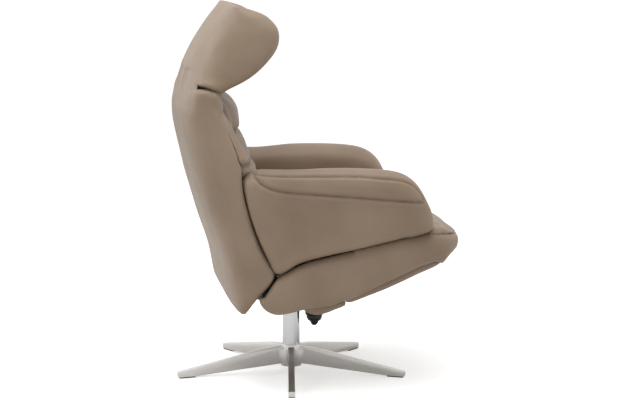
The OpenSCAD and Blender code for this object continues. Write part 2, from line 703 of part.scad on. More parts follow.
// Back: a padded wall that wraps round the back cushion and its frame
rear_shares = [[0, 0.51], [0.012, 0.526], [0.04, 0.548], [0.068, 0.562], [0.14, 0.6], [0.224, 0.636], [0.408, 0.768],
    [0.592, 0.877], [0.713, 0.94], [0.834, 0.989], [0.894, 1], [0.954, 0.989], [1, 0.975]];
rim_low_shares = [[0, 0.435], [0.026, 0.395], [0.06, 0.338], [0.112, 0.253], [0.175, 0.153], [0.3, 0.13]];
rim_high_shares = [[0.5, 0.46], [0.65, 0.458], [0.69, 0.46], [0.736, 0.49], [0.806, 0.556], [0.861, 0.615],
    [0.912, 0.672], [0.957, 0.72], [1, 0.765]];
back_width_shares = [[0, 0.985], [0.2, 1], [0.6, 0.99], [0.75, 0.955], [0.9, 0.9], [1, 0.87]];
rim_gap = 3;
function back_share(z) = (z - back_low) / (back_top - back_low);
function back_rear(z) = -back_reach * lookup(back_share(z), rear_shares);
function back_rim(z) = z < seam_low ? -back_reach * lookup(back_share(z), rim_low_shares)
    : z > seam_high ? -back_reach * lookup(back_share(z), rim_high_shares)
    : lookup(z, seam_by_z) - rim_gap;
function back_half(z) = back_half_w * lookup(back_share(z), back_width_shares);
// Place of the shell's inner face at a distance across from the middle
function shell_inner(across, z) = let (rim = back_rim(z), depth = rim - back_rear(z),
        t = min(shell_rear_t, depth * 0.8))
    rim - (depth - t) * pow(1 - pow(across / (back_half(z) - shell_side_t), shell_power), 1 / shell_power);
// Plan of a wall that wraps round, from its right rim round the rear to its left rim
function wrap_half(power, sides, rears) = concat(
    [for (d = sides) [pow(1 - pow(d, power), 1 / power), d]],
    [for (w = rears) [w, pow(1 - pow(w, power), 1 / power)]]);
function wrap(half) = concat(half, [for (i = [len(half) - 2 : -1 : 0]) [-half[i][0], half[i][1]]]);
function wrap_point(q, z, half_w, rim, rear, side_t, rear_t, full, half) = let (
        depth = rim - rear, t = min(rear_t, depth * 0.8),
        outer = [half_w * q[0], rim - depth * q[1]],
        inner = [(half_w - side_t) * q[0], rim - (depth - t) * q[1]],
        middle = (outer + inner) / 2,
        p = middle + half * full * (outer - inner) / 2)
    at(p[1], p[0], z);
shell_power = 4;
shell_plan = wrap(wrap_half(shell_power, [0, 0.03, 0.12, 0.35, 0.6, 0.8], [0.75, 0.5, 0]));
shell_rows = [0, 0.012, 0.04, 0.1, 0.175, 0.24, 0.32, 0.42, 0.52, 0.6, 0.68, 0.76, 0.84, 0.91, 0.96, 0.99, 1];
shell_rim_r = 8;
shell_low_r = 26;
shell_top_r = 8;
pocket_in = 58;
pocket_out = 82;
pocket_rear = tilt_behind + 9;
pocket_front = tilt_behind - 16;
tilt_gap = 3.5;
tilt_h = back_top + tilt_gap / 2;
head_low = back_top + tilt_gap;
pocket_deep = 24;
pocket_lean = 12;
module bracket_pocket(from, to, lean, inner) {
    both_sides() side_at((inner + pocket_out) / 2, pocket_out - inner) polygon([
        [-pocket_rear, from], [-pocket_rear, mix(from, to, 0.25)], [-pocket_rear + lean, to],
        [-pocket_front + lean, to], [-pocket_front, from]]);
}
module back_shell() {
    function grid(half) = [for (s = shell_rows) [for (q = shell_plan) let (
            z = mix(back_low, back_top, s), rim = back_rim(z), rear = back_rear(z),
            full = min(roundness((rim - rear) * q[1], shell_rim_r),
                roundness(z - back_low, shell_low_r), roundness(back_top - z, shell_top_r)))
        wrap_point(q, z, back_half(z), rim, rear, shell_side_t, shell_rear_t, full, half)]];
    color([0.5, 0.44, 0.37]) difference() {
        padded_form(grid(-1), grid(1));
        bracket_pocket(back_top - pocket_deep, back_top + overrun, 0, pocket_in);
    }
}

// Back frame: two pressed side plates and three cross tubes between shell and cushion
frame_t = 33;
frame_in = 150;
frame_plate_t = 6;
frame_gap = 3;
frame_low_rise = 72;
frame_top_fall = 44;
frame_low_over = 20;
frame_top_over = 16;
frame_low_z = recline_h + frame_low_rise;
frame_mid_z = mix(frame_low_z, back_top, 0.46);
frame_top_z = back_top - frame_top_fall;
frame_tube_r = 12;
function frame_x(z) = shell_inner(frame_in + frame_plate_t, z) + frame_gap + frame_t / 2;
frame_stages = 30;
frame_steps = [for (i = [0 : frame_stages])
    mix(frame_low_z - frame_low_over, frame_top_z + frame_top_over, i / frame_stages)];
hinge_out = 30;
hinge_in = frame_in + hinge_out;
hinge_t = 6;
module back_frame() {
    color("dimgray") {
        both_sides() side_at(frame_in + frame_plate_t / 2, frame_plate_t) polygon(concat(
            [for (z = frame_steps) [frame_x(z) + frame_t / 2, z]],
            [for (i = [len(frame_steps) - 1 : -1 : 0]) [frame_x(frame_steps[i]) - frame_t / 2, frame_steps[i]]]));
        cross_rod(frame_x(frame_low_z), frame_low_z, frame_tube_r, -hinge_in, hinge_in);
        cross_rod(frame_x(frame_mid_z), frame_mid_z, frame_tube_r, -frame_in, frame_in);
        cross_rod(frame_x(frame_top_z), frame_top_z, frame_tube_r, -frame_in, frame_in);
    }
}
module back_hinge_plates() {
    axis = [-recline_behind, recline_h];
    tube = [frame_x(frame_low_z), frame_low_z];
    color("dimgray") both_sides() difference() {
        side_at(hinge_in + hinge_t / 2, hinge_t - 2 * seat_clear)
            rail_link(axis, rail_eye_r, tube, frame_tube_r + frame_gap / 2);
        side_at(hinge_in + hinge_t / 2, hinge_t + overrun)
            translate(axis) circle(r = pin_r + run_gap, $fn = 48);
    }
}

// Back cushion: quilted rows between two bolsters that run in front of the shell's rim
cushion_front_shares = [[0, 0.126], [0.33, 0.126], [0.4, 0.13], [0.5, 0.15], [0.56, 0.175], [0.627, 0.215],
    [0.667, 0.266], [0.705, 0.32], [0.753, 0.36], [0.801, 0.39], [0.849, 0.41], [0.915, 0.44],
    [0.965, 0.462], [1, 0.49]];
bolster_shares = [[0, 0.36], [0.69, 0.361], [0.736, 0.41], [0.806, 0.477], [0.861, 0.533], [0.912, 0.6],
    [0.957, 0.66], [1, 0.72]];
cushion_gap = 0.6;
bolster_gap = 1.8;
bolster_lap = 4;
rim_lap = 10;
rim_facets = [for (s = shell_rows) let (z = mix(back_low, back_top, s)) [z, back_rim(z)]];
cushion_back_low = seam_low + 14;
cushion_back_top = back_top - 3;
bolster_low = arm_top + 8;
bolster_seam = 0.74;
bolster_r = 30;
cushion_mid_half = arm_in - 12;
tuft_x = 84;
pillow_fall = 30;
row_deep_shares = [0, 0.14, 0.5, 0.86];
row_first = seam_low + row_pitch * 0.68;
row_count = 5;
tuft_cols = [0, 0.2, 0.368, 0.54, 0.8, 1];
function bolster(z) = z > bolster_low;
function bolster_rim(z) = bolster(z) ? back_half(z) - shell_side_t - 3 : cushion_mid_half + 4;
function bolster_half(z) = bolster(z) ? back_half(z) - 3 : arm_in - 3;
function back_cushion_half_cols(z) = let (rim = bolster_rim(z), half = bolster_half(z)) concat(
    [for (s = tuft_cols) s * cushion_mid_half],
    [rim - (bolster(z) ? rim_lap - 1 : 2), rim, mix(rim, half, 0.45), mix(rim, half, 0.85), half]);
function back_cushion_cols(z) = let (half = back_cushion_half_cols(z))
    concat([for (i = [len(half) - 1 : -1 : 1]) -half[i]], half);
cushion_z = concat([cushion_back_low, cushion_back_low + 8, cushion_back_low + 26],
    [for (k = [0 : row_count - 1], s = row_deep_shares)
        let (z = row_first + (k + s) * row_pitch - row_pitch / 2) if (z > cushion_back_low + 34
            && z < cushion_back_top - 12 && abs(z - bolster_low) > 5) z],
    [bolster_low - 3, bolster_low + 3], [cushion_back_top - 8, cushion_back_top]);
function in_order(list) = len(list) < 2 ? list : let (
        pivot = list[floor(len(list) / 2)])
    concat(in_order([for (v = list) if (v < pivot) v]), [pivot], in_order([for (v = list) if (v > pivot) v]));
function channel(z) = let (k = round((z - row_first + row_pitch / 2) / row_pitch),
        d = z - row_first + row_pitch / 2 - k * row_pitch)
    exp(-pow(d / (row_pitch * 0.12), 2));
function cushion_front(across, z) = let (
        share = abs(across) / back_half(z),
        side = bolster(z) ? ease((share - bolster_seam) / 0.14) : 0,
        tuft = exp(-pow((abs(across) - tuft_x) / 12, 2)),
        edge = min(bolster_half(z) - abs(across), z - cushion_back_low, cushion_back_top - z),
        crown = -pillow_fall * pow(min(abs(across) / cushion_mid_half, 1), 2))
    -back_reach * mix(lookup(back_share(z), cushion_front_shares),
        lookup(back_share(z), bolster_shares), side) + crown * (1 - side)
        - channel(z) * channel_deep * (1 - 0.75 * side) - tuft * channel_deep * (0.35 + 0.65 * channel(z))
        - bolster_r * (1 - roundness(max(edge, 0), bolster_r));
function cushion_rear(across, z) = (z > bolster_low - bolster_lap && abs(across) > bolster_rim(z) - rim_lap)
    ? lookup(z, rim_facets) + bolster_gap : frame_x(z) + frame_t / 2 + cushion_gap;
module back_cushion() {
    rows = in_order(cushion_z);
    function grid(front) = [for (z = rows) [for (c = back_cushion_cols(z)) let (
            rear = cushion_rear(c, z))
        at(front ? max(cushion_front(c, z), rear + 3) : rear, c, z)]];
    color([0.56, 0.49, 0.42]) padded_form(grid(false), grid(true));
}

// Headrest
head_reach = back_reach - 7;
wing_len = 261;
head_rear_shares = [[0, 1], [0.053, 0.996], [0.19, 0.968], [0.328, 0.914], [0.466, 0.849],
    [0.603, 0.773], [0.741, 0.698], [0.878, 0.626], [0.949, 0.572], [1, 0.53]];
wing_shares = [[0, 0.376], [0.055, 0.452], [0.16, 0.68], [0.31, 0.838], [0.47, 0.96],
    [0.63, 1], [0.76, 0.97], [0.887, 0.848], [0.95, 0.69], [1, 0.446]];
head_width_shares = [[0, 0.985], [0.3, 1], [0.7, 0.975], [0.9, 0.92], [1, 0.86]];
head_rows = [0, 0.02, 0.055, 0.13, 0.24, 0.36, 0.48, 0.6, 0.71, 0.81, 0.89, 0.945, 0.98, 1];
head_plan = wrap(wrap_half(3.4, [0, 0.02, 0.07, 0.16, 0.3, 0.48, 0.66, 0.8], [0.74, 0.5, 0.25, 0]));
head_rear_t = 96;
head_low_r = 10;
head_top_r = 34;
module headrest_pad() {
    function grid(half) = [for (s = head_rows) [for (q = head_plan) let (
            z = mix(head_low, head_top, s),
            rim = wing_len * lookup(s, wing_shares) - head_reach,
            rear = -head_reach * lookup(s, head_rear_shares),
            full = min(roundness((rim - rear) * q[1], wing_t / 2),
                roundness(z - head_low, head_low_r), roundness(head_top - z, head_top_r)))
        wrap_point(q, z, head_half_w * lookup(s, head_width_shares), rim, rear, wing_t, head_rear_t, full, half)]];
    color([0.5, 0.44, 0.37]) difference() {
        padded_form(grid(-1), grid(1));
        bracket_pocket(head_low - overrun, head_low + 2 * pocket_deep, pocket_lean, lug_in - seat_clear / 2);
    }
}
tilt_pin_r = 3;
tilt_eye_r = 7;
lug_t = 6;
lug_in = pocket_in + 5;
module tilt_lug(from, a, b) {
    difference() {
        side_at(from + lug_t / 2, lug_t - seat_clear) {
            rail_link([-tilt_behind, tilt_h], tilt_eye_r, a, tilt_eye_r);
            rail_link(a, tilt_eye_r, b, tilt_eye_r);
        }
        side_at(from + lug_t / 2, lug_t + overrun)
            translate([-tilt_behind, tilt_h]) circle(r = tilt_pin_r + run_gap, $fn = 40);
    }
}
module headrest_bracket() {
    tube = [frame_x(frame_top_z), frame_top_z + frame_tube_r + tilt_eye_r + seat_clear];
    color("dimgray") both_sides() tilt_lug(lug_in + lug_t, [tube[0], tube[1] + 6], tube);
}
module headrest_pin() {
    color("gray") both_sides()
        cross_rod(-tilt_behind, tilt_h, tilt_pin_r, lug_in - 2, lug_in + 2 * lug_t + 2);
}
module headrest_plate() {
    top = head_low + 2 * pocket_deep - tilt_eye_r - 2;
    color("dimgray") both_sides() tilt_lug(lug_in, [-tilt_behind + 4, tilt_h + tilt_eye_r],
        [-tilt_behind + pocket_lean + 2, top]);
}

star_base();
foot_glides();
column_tube();
column_bushes();
thrust_washer();
spindle();
retaining_ring();
seat_plate();
plate_bolts();
mechanism_housing();
side_rail_left();
side_rail_right();
front_crossbar();
rear_crossbar();
recline_shaft();
leg_rest_pins();
seat_deck();
seat_body();
seat_cushion();
arm_left();
arm_right();
arm_brackets();
arm_bolts();
underside_cover();
tension_knob();
knob_stem();
back_shell();
back_cushion();
back_frame();
back_hinge_plates();
headrest_bracket();
headrest_pin();
headrest_pad();
headrest_plate();
leg_rest_pad();
leg_rest_board();
leg_rest_arms();
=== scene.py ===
import math

import bmesh
import bpy
import numpy as np
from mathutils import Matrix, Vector, noise
from mathutils.bvhtree import BVHTree


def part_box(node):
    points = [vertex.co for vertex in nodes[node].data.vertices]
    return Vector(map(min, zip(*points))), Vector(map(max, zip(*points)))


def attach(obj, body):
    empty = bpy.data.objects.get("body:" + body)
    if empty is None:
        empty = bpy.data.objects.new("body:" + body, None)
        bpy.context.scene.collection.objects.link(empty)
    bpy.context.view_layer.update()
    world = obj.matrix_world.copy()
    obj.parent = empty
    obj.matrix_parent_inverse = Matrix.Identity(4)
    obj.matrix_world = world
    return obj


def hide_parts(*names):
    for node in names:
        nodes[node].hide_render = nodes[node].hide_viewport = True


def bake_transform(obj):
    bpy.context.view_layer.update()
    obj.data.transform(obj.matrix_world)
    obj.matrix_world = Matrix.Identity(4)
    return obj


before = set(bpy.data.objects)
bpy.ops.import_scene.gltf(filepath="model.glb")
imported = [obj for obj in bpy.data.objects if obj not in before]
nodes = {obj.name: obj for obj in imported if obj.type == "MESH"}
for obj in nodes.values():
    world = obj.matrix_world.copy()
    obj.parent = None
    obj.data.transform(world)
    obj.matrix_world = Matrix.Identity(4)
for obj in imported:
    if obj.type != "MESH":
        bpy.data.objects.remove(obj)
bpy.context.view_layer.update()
scene = bpy.context.scene
print("frame loaded")

# The side view's own places: x forward of the seat line, which stands 50 mm behind the column's
# axis, and z up from the floor. All lengths are in metres unless a note says millimetres.
columnLow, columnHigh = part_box("column_tube")
axisY = (columnLow[1] + columnHigh[1]) / 2
seatLine = axisY + 0.050


def at(x, across, z):
    return Vector((across, seatLine - x, z))


# Materials. Every colour is an sRGB hex value, and this turns it to linear.
def toLinear(hexText):
    parts = [int(hexText[i:i + 2], 16) / 255 for i in (1, 3, 5)]
    linear = [c / 12.92 if c <= 0.04045 else ((c + 0.055) / 1.055) ** 2.4 for c in parts]
    return (*linear, 1.0)


# Adds a node with its settings, the links into it and out of it, and a ramp's stops
def addNode(tree, kind, settings=None, links=None, feeds=None, stops=()):
    node = tree.nodes.new(kind)
    for key, value in (settings or {}).items():
        if key in node.inputs:
            node.inputs[key].default_value = value
        else:
            setattr(node, key, value)
    for key, (source, output) in (links or {}).items():
        tree.links.new(source.outputs[output], node.inputs[key])
    for key, (target, entry) in (feeds or {}).items():
        tree.links.new(node.outputs[key], target.inputs[entry])
    for i, (position, colour) in enumerate(stops):
        elements = node.color_ramp.elements
        element = elements[i] if i < 2 else elements.new(position)
        element.position, element.color = position, toLinear(colour)
    return node


def newMaterial(name, settings):
    material = bpy.data.materials.new(name)
    material.use_nodes = True
    tree = material.node_tree
    shader = tree.nodes["Principled BSDF"]
    for key, value in settings.items():
        shader.inputs[key].default_value = value
    return material, tree, shader


# seamShade is the painted shade colour that the seam valleys are multiplied towards
leather = {
    "dark": "#7f6c59", "mid": "#877461", "light": "#8e7b68", "seamShade": "#9e9389",
    "ior": 1.45, "sheen": 0.08, "sheenRoughness": 0.4, "roughness": (0.44, 0.58),
    "cloudSize": 0.16, "glossSize": 0.025,
    "grainSize": 0.0022, "grainHeight": 0.00018, "grainStrength": 0.6,
    "creaseSize": 0.02, "creaseHeight": 0.0007, "creaseStrength": 0.35}


# Corrected-grain cowhide, pigment finished: an even taupe with a faint cloud, a low satin gloss
# and a fine pebble. The pebble is about 1 mm on the real one and is drawn twice as coarse.
def makeLeather():
    material, tree, shader = newMaterial("cowhideTaupe", {
        "IOR": leather["ior"], "Sheen Weight": leather["sheen"],
        "Sheen Roughness": leather["sheenRoughness"]})
    place = addNode(tree, "ShaderNodeTexCoord")
    onPiece = {"Vector": (place, "Object")}
    cloud = addNode(tree, "ShaderNodeTexNoise",
                    {"Scale": 1 / leather["cloudSize"], "Detail": 3.0}, onPiece)
    shades = addNode(tree, "ShaderNodeValToRGB", links={"Fac": (cloud, "Fac")}, stops=[
        (0.3, leather["dark"]), (0.7, leather["light"]), (0.5, leather["mid"])])
    # Painted shade in the seam valleys: the colour is multiplied towards seamShade as far as the
    # piece's stored seam shade says
    seams = addNode(tree, "ShaderNodeAttribute", {"attribute_name": "paintedSeamShade"})
    shaded = addNode(tree, "ShaderNodeMix", {"data_type": "RGBA", "blend_type": "MULTIPLY"},
                     {"Factor": (seams, "Fac"), "A": (shades, "Color")},
                     {"Result": (shader, "Base Color")})
    shaded.inputs["B"].default_value = toLinear(leather["seamShade"])
    gloss = addNode(tree, "ShaderNodeTexNoise",
                    {"Scale": 1 / leather["glossSize"], "Detail": 2.0}, onPiece)
    low, high = leather["roughness"]
    addNode(tree, "ShaderNodeMapRange", {"To Min": low, "To Max": high},
            {"Value": (gloss, "Fac")}, {"Result": (shader, "Roughness")})
    pebble = addNode(tree, "ShaderNodeTexVoronoi", {"Scale": 1 / leather["grainSize"]}, onPiece)
    creases = addNode(tree, "ShaderNodeTexNoise", {"Scale": 1 / leather["creaseSize"],
                                                   "Detail": 4.0, "Distortion": 0.6}, onPiece)
    wide = addNode(tree, "ShaderNodeBump", {"Strength": leather["creaseStrength"],
                                            "Distance": leather["creaseHeight"]},
                   {"Height": (creases, "Fac")})
    addNode(tree, "ShaderNodeBump", {"Strength": leather["grainStrength"],
                                     "Distance": leather["grainHeight"]},
            {"Height": (pebble, "Distance"), "Normal": (wide, "Normal")},
            {"Normal": (shader, "Normal")})
    return material


# A finish of one or two patterns on one piece: "cloud" leads the roughness, "grain" the relief
# and, where there are shades, the colour. Sizes are in metres.
def makeFinish(name, finish):
    settings = {"Metallic": finish.get("metallic", 0.0)}
    if "colour" in finish:
        settings["Base Color"] = toLinear(finish["colour"])
    material, tree, shader = newMaterial(name, settings)
    place = addNode(tree, "ShaderNodeTexCoord")
    onPiece = {"Vector": (place, "Object")}
    grain = addNode(tree, "ShaderNodeTexNoise", {"Scale": 1 / finish["grain"],
                                                 "Detail": finish["detail"]}, onPiece)
    cloud = grain
    if "cloud" in finish:
        cloud = addNode(tree, "ShaderNodeTexNoise", {"Scale": 1 / finish["cloud"],
                                                     "Detail": 3.0}, onPiece)
    if "dark" in finish:
        addNode(tree, "ShaderNodeValToRGB", links={"Fac": (grain, "Fac")},
                feeds={"Color": (shader, "Base Color")},
                stops=[(0.3, finish["dark"]), (0.7, finish["light"])])
    low, high = finish["roughness"]
    addNode(tree, "ShaderNodeMapRange", {"To Min": low, "To Max": high},
            {"Value": (cloud, "Fac")}, {"Result": (shader, "Roughness")})
    addNode(tree, "ShaderNodeBump", {"Strength": finish["strength"],
                                     "Distance": finish["height"]},
            {"Height": (grain, "Fac")}, {"Normal": (shader, "Normal")})
    return material


# Aluminium casting, bead-blasted to an even satin: a soft wide gloss with a faint cloud and a
# fine grit. The grit is about 0.1 mm on the real one and is drawn coarser, so that it shows.
castMetal = {
    "metallic": 1.0, "colour": "#dedcd9", "roughness": (0.34, 0.43), "cloud": 1 / 9,
    "grain": 0.0012, "detail": 2.0, "strength": 0.06, "height": 0.0001}
# Steel tube with bright chrome plate: near-mirror, with the faint waviness of drawn tube
chrome = {
    "metallic": 1.0, "colour": "#cdcdd0", "roughness": (0.07, 0.13),
    "grain": 0.0625, "detail": 1.0, "strength": 0.05, "height": 0.0004}
# Plain finishes: one fine grain that varies colour, gloss and relief together
plain = {"detail": 3.0, "strength": 0.4, "height": 0.0002}
# Powder coat, baked on: black and semi-matt with a slight orange peel
paint = {"dark": "#17181a", "light": "#26272a", "grain": 0.0016, "roughness": (0.44, 0.56)}
# Zinc plate on turned steel: bright grey with a soft mottle
zinc = {
    "dark": "#8e9094", "light": "#b4b6ba", "grain": 0.004, "roughness": (0.26, 0.38),
    "metallic": 1.0}
# Glass-filled nylon from a spark-eroded mould: black with a fine even texture
blackNylon = {"dark": "#0d0d0f", "light": "#1a1a1d", "grain": 0.0012, "roughness": (0.36, 0.48)}
# Moulded polypropylene of the glide pads: dull and dark grey
greyPlastic = {"dark": "#1c1c1c", "light": "#2c2b2a", "grain": 0.002, "roughness": (0.54, 0.66)}
# Natural nylon of the bushes: ivory and waxy
paleNylon = {"dark": "#c9c4b6", "light": "#ddd9cd", "grain": 0.003, "roughness": (0.39, 0.51)}
# The bands are drawn out along the board: fewer per metre along it than across and through it
birch = {
    "dark": "#b08d5f", "light": "#d3b68a", "roughness": 0.6, "bandsPerMetre": 1.6,
    "drawnOut": (3, 40, 60), "strength": 0.2, "height": 0.0002}


# Rotary-cut birch plywood, sanded and raw: pale with long growth bands
def makePlywood():
    material, tree, shader = newMaterial("birchPly", {"Roughness": birch["roughness"]})
    place = addNode(tree, "ShaderNodeTexCoord")
    drawn = addNode(tree, "ShaderNodeMapping", {"Scale": birch["drawnOut"]},
                    {"Vector": (place, "Object")})
    bands = addNode(tree, "ShaderNodeTexNoise",
                    {"Scale": birch["bandsPerMetre"], "Detail": 5.0, "Distortion": 0.8},
                    {"Vector": (drawn, "Vector")})
    addNode(tree, "ShaderNodeValToRGB", links={"Fac": (bands, "Fac")},
            feeds={"Color": (shader, "Base Color")},
            stops=[(0.3, birch["dark"]), (0.7, birch["light"])])
    addNode(tree, "ShaderNodeBump", {"Strength": birch["strength"], "Distance": birch["height"]},
            {"Height": (bands, "Fac")}, {"Normal": (shader, "Normal")})
    return material


leatherMaterial = makeLeather()
castMaterial = makeFinish("aluminiumSatin", castMetal)
chromeMaterial = makeFinish("chromePlate", chrome)
powderCoat = makeFinish("steelPowderCoat", plain | paint)
zincPlate = makeFinish("steelZincPlate", plain | zinc)
mouldedBlack = makeFinish("nylonMouldedBlack", plain | blackNylon)
glidePlastic = makeFinish("polypropyleneGrey", plain | greyPlastic)
bearingNylon = makeFinish("nylonNatural", plain | paleNylon)
plywood = makePlywood()
print("materials made")

nodeFinishes = [
    (zincPlate, ["spindle", "retaining_ring", "recline_shaft", "leg_rest_pins", "plate_bolts",
                 "arm_bolts", "headrest_pin", "knob_stem"]),
    (powderCoat, ["seat_plate", "mechanism_housing", "side_rail_left", "side_rail_right",
                  "front_crossbar", "rear_crossbar", "arm_brackets", "back_frame",
                  "back_hinge_plates", "headrest_bracket", "headrest_plate", "leg_rest_arms"]),
    (plywood, ["seat_deck", "leg_rest_board"]),
    (bearingNylon, ["column_bushes", "thrust_washer"]),
    (glidePlastic, ["foot_glides"]),
    (chromeMaterial, ["column_tube"]),
    (mouldedBlack, ["tension_knob"]),
    (castMaterial, ["star_base"]),
]
for material, names in nodeFinishes:
    for name in names:
        nodes[name].data.materials.clear()
        nodes[name].data.materials.append(material)
print("frame finished")


# Helpers for shapes
def deselectAll():
    if bpy.context.object and bpy.context.object.mode != "OBJECT":
        bpy.ops.object.mode_set(mode="OBJECT")
    bpy.ops.object.select_all(action="DESELECT")


def makeActive(piece):
    deselectAll()
    piece.select_set(True)
    bpy.context.view_layer.objects.active = piece


def applyModifier(piece, kind, settings):
    makeActive(piece)
    modifier = piece.modifiers.new(kind.title(), kind)
    for key, value in settings.items():
        setattr(modifier, key, value)
    bpy.ops.object.modifier_apply(modifier=modifier.name)


def readVertices(mesh, key):
    values = np.empty(len(mesh.vertices) * 3)
    mesh.vertices.foreach_get(key, values)
    return values.reshape(-1, 3)


def getPoints(piece):
    return readVertices(piece.data, "co")


def getNormals(piece):
    return readVertices(piece.data, "normal")


def setPoints(piece, points):
    piece.data.vertices.foreach_set("co", np.asarray(points).ravel())
    piece.data.update()


def getEdges(piece):
    return np.array([e.vertices[:] for e in piece.data.edges])


# The piece's faces as they are now, for ray casts and nearest points
def skinTree(piece):
    return BVHTree.FromObject(piece, bpy.context.evaluated_depsgraph_get())


# The points' own places in the side view: forward of the seat line, across, and height
def sidePlaces(piece):
    points = getPoints(piece)
    return points, seatLine - points[:, 1], np.abs(points[:, 0]), points[:, 2]


# 0 below low, 1 above high and smooth between
def fadeIn(value, low, high):
    share = np.clip((value - low) / (high - low), 0, 1)
    return share * share * (3 - 2 * share)


def fadeOut(value, low, high):
    return 1 - fadeIn(value, low, high)


# Reads a smooth amount in metres from rows of (place, amount), both in millimetres
def readRows(rows, value):
    places, amounts = zip(*rows)
    return np.interp(value * 1000, places, amounts) / 1000


# The lowest and highest corners of a box and its mirror image, in the order of the signs
def sideBoxes(box, signs):
    corners = []
    for sign in signs:
        inner, outer = sorted(sign * place for place in box["across"])
        corners.append(((inner, box["along"][0], box["height"][0]),
                        (outer, box["along"][1], box["height"][1])))
    return corners


mergeGap = 0.00002  # corners of the CAD's loose triangles join within this


# A copy of a CAD solid as one merged quad mesh. The hidden pockets inside a box and its mirror
# image are closed over.
def copySolid(nodeName, pieceName, closed=None):
    mesh = nodes[nodeName].data.copy()
    mesh.name = pieceName
    piece = bpy.data.objects.new(pieceName, mesh)
    scene.collection.objects.link(piece)
    shape = bmesh.new()
    shape.from_mesh(mesh)
    bmesh.ops.remove_doubles(shape, verts=shape.verts, dist=mergeGap)
    for low, high in sideBoxes(closed, (-1, 1)) if closed else ():
        inside = [v for v in shape.verts if all(low[i] <= v.co[i] <= high[i] for i in range(3))]
        bmesh.ops.delete(shape, geom=inside, context="VERTS")
        edges = [e for e in shape.edges if e.is_boundary]
        bmesh.ops.holes_fill(shape, edges=edges, sides=0)
        bmesh.ops.recalc_face_normals(shape, faces=shape.faces)
    bmesh.ops.join_triangles(shape, faces=shape.faces, angle_face_threshold=math.pi,
                             angle_shape_threshold=math.pi)
    shape.to_mesh(mesh)
    shape.free()
    mesh.materials.clear()
    mesh.materials.append(leatherMaterial)
    return piece


# How a pad is made from its solid: fitted, subdivided, evened and meshed again in small cells
padMaking = {
    "fitRounds": 2, "fitStep": 0.8, "levels": 2, "evenStep": 0.5, "evenBack": 1.03,
    "lastRounds": 4, "quickCoarser": 1.8}


# Moves the control points out so that the subdivided surface passes through the solid's own
# points. "limit" is where each point ends up after endless subdivision.
def fitSubdivision(piece):
    mesh = piece.data
    target = getPoints(piece)
    count = len(mesh.vertices)
    edges = getEdges(piece)
    valence = np.bincount(edges.ravel(), minlength=count).astype(float)[:, None]
    faceLists = [list(p.vertices) for p in mesh.polygons]
    control = target.copy()
    for _ in range(padMaking["fitRounds"]):
        edgeSum = np.zeros((count, 3))
        np.add.at(edgeSum, edges[:, 0], control[edges[:, 1]])
        np.add.at(edgeSum, edges[:, 1], control[edges[:, 0]])
        faceSum = np.zeros((count, 3))
        for corners in faceLists:
            faceSum[corners] += control[corners].mean(axis=0)
        limit = ((valence * (valence - 1) * control + 2 * edgeSum + 4 * faceSum)
                 / (valence * (valence + 5)))
        control += padMaking["fitStep"] * (target - limit)
    setPoints(piece, control)


def countNeighbours(edges, count):
    return np.maximum(np.bincount(edges.ravel(), minlength=count), 1)[:, None]


# The middle of each point's neighbours
def neighbourMiddle(points, edges, valence):
    first, second, count = edges[:, 0], edges[:, 1], len(points)
    sums = [np.bincount(first, points[second, i], count)
            + np.bincount(second, points[first, i], count) for i in range(3)]
    return np.stack(sums, axis=1) / valence


# Evens out ripples of the broad faces, along the normals only, and keeps the size
def relax(piece, rounds):
    edges = getEdges(piece)
    valence = countNeighbours(edges, len(piece.data.vertices))
    for _ in range(rounds):
        for factor in (padMaking["evenStep"], -padMaking["evenBack"] * padMaking["evenStep"]):
            points, normals = getPoints(piece), getNormals(piece)
            middle = neighbourMiddle(points, edges, valence)
            step = ((middle - points) * normals).sum(axis=1)
            setPoints(piece, points + factor * step[:, None] * normals)


hollowStep = 0.6


# Smooths away hollows where share is 1
def evenOut(piece, share, rounds):
    edges = getEdges(piece)
    points = getPoints(piece)
    valence = countNeighbours(edges, len(points))
    for _ in range(rounds):
        middle = neighbourMiddle(points, edges, valence)
        points += hollowStep * share[:, None] * (middle - points)
    setPoints(piece, points)


# The CAD solid's copy is rounded, evened and meshed again in small even cells, ready for seams
def startPad(nodeName, pieceName, pad):
    piece = copySolid(nodeName, pieceName, pad.get("closed"))
    fitSubdivision(piece)
    levels = padMaking["levels"]
    applyModifier(piece, "SUBSURF", {"levels": levels, "render_levels": levels})
    relax(piece, pad["smooth"])
    coarser = 1
    applyModifier(piece, "REMESH", {"mode": "VOXEL", "voxel_size": pad["voxel"] * coarser})
    relax(piece, padMaking["lastRounds"])
    return piece


clothFrames = 16
cloth = {
    "quality": 4, "mass": 0.4, "tension_stiffness": 12.0, "compression_stiffness": 12.0,
    "shear_stiffness": 6.0, "bending_stiffness": 0.6, "use_pressure": True,
    "vertex_group_mass": "held"}


# Swells a piece like a filled cover: it is pinned where held is true and moves no more than cap
def inflate(piece, held, pressure, cap):
    rest = getPoints(piece)
    group = piece.vertex_groups.new(name="held")
    group.add([int(i) for i in np.where(held)[0]], 1.0, "REPLACE")
    makeActive(piece)
    modifier = piece.modifiers.new("Cloth", "CLOTH")
    for key, value in cloth.items():
        setattr(modifier.settings, key, value)
    modifier.settings.uniform_pressure_force = pressure
    modifier.settings.effector_weights.gravity = 0
    modifier.point_cache.frame_start = 1
    modifier.point_cache.frame_end = clothFrames + 1
    for frameNumber in range(1, clothFrames + 1):
        scene.frame_set(frameNumber)
    evaluated = piece.evaluated_get(bpy.context.evaluated_depsgraph_get())
    step = readVertices(evaluated.data, "co") - rest
    length = np.linalg.norm(step, axis=1, keepdims=True)
    step *= np.minimum(1, cap / np.maximum(length, 1e-9))
    piece.modifiers.remove(modifier)
    piece.vertex_groups.clear()
    setPoints(piece, rest + step)
    scene.frame_set(1)
    most = round(float(np.linalg.norm(step, axis=1).max()) * 1000, 1)
    print("  inflated", piece.name, most, "mm at most")


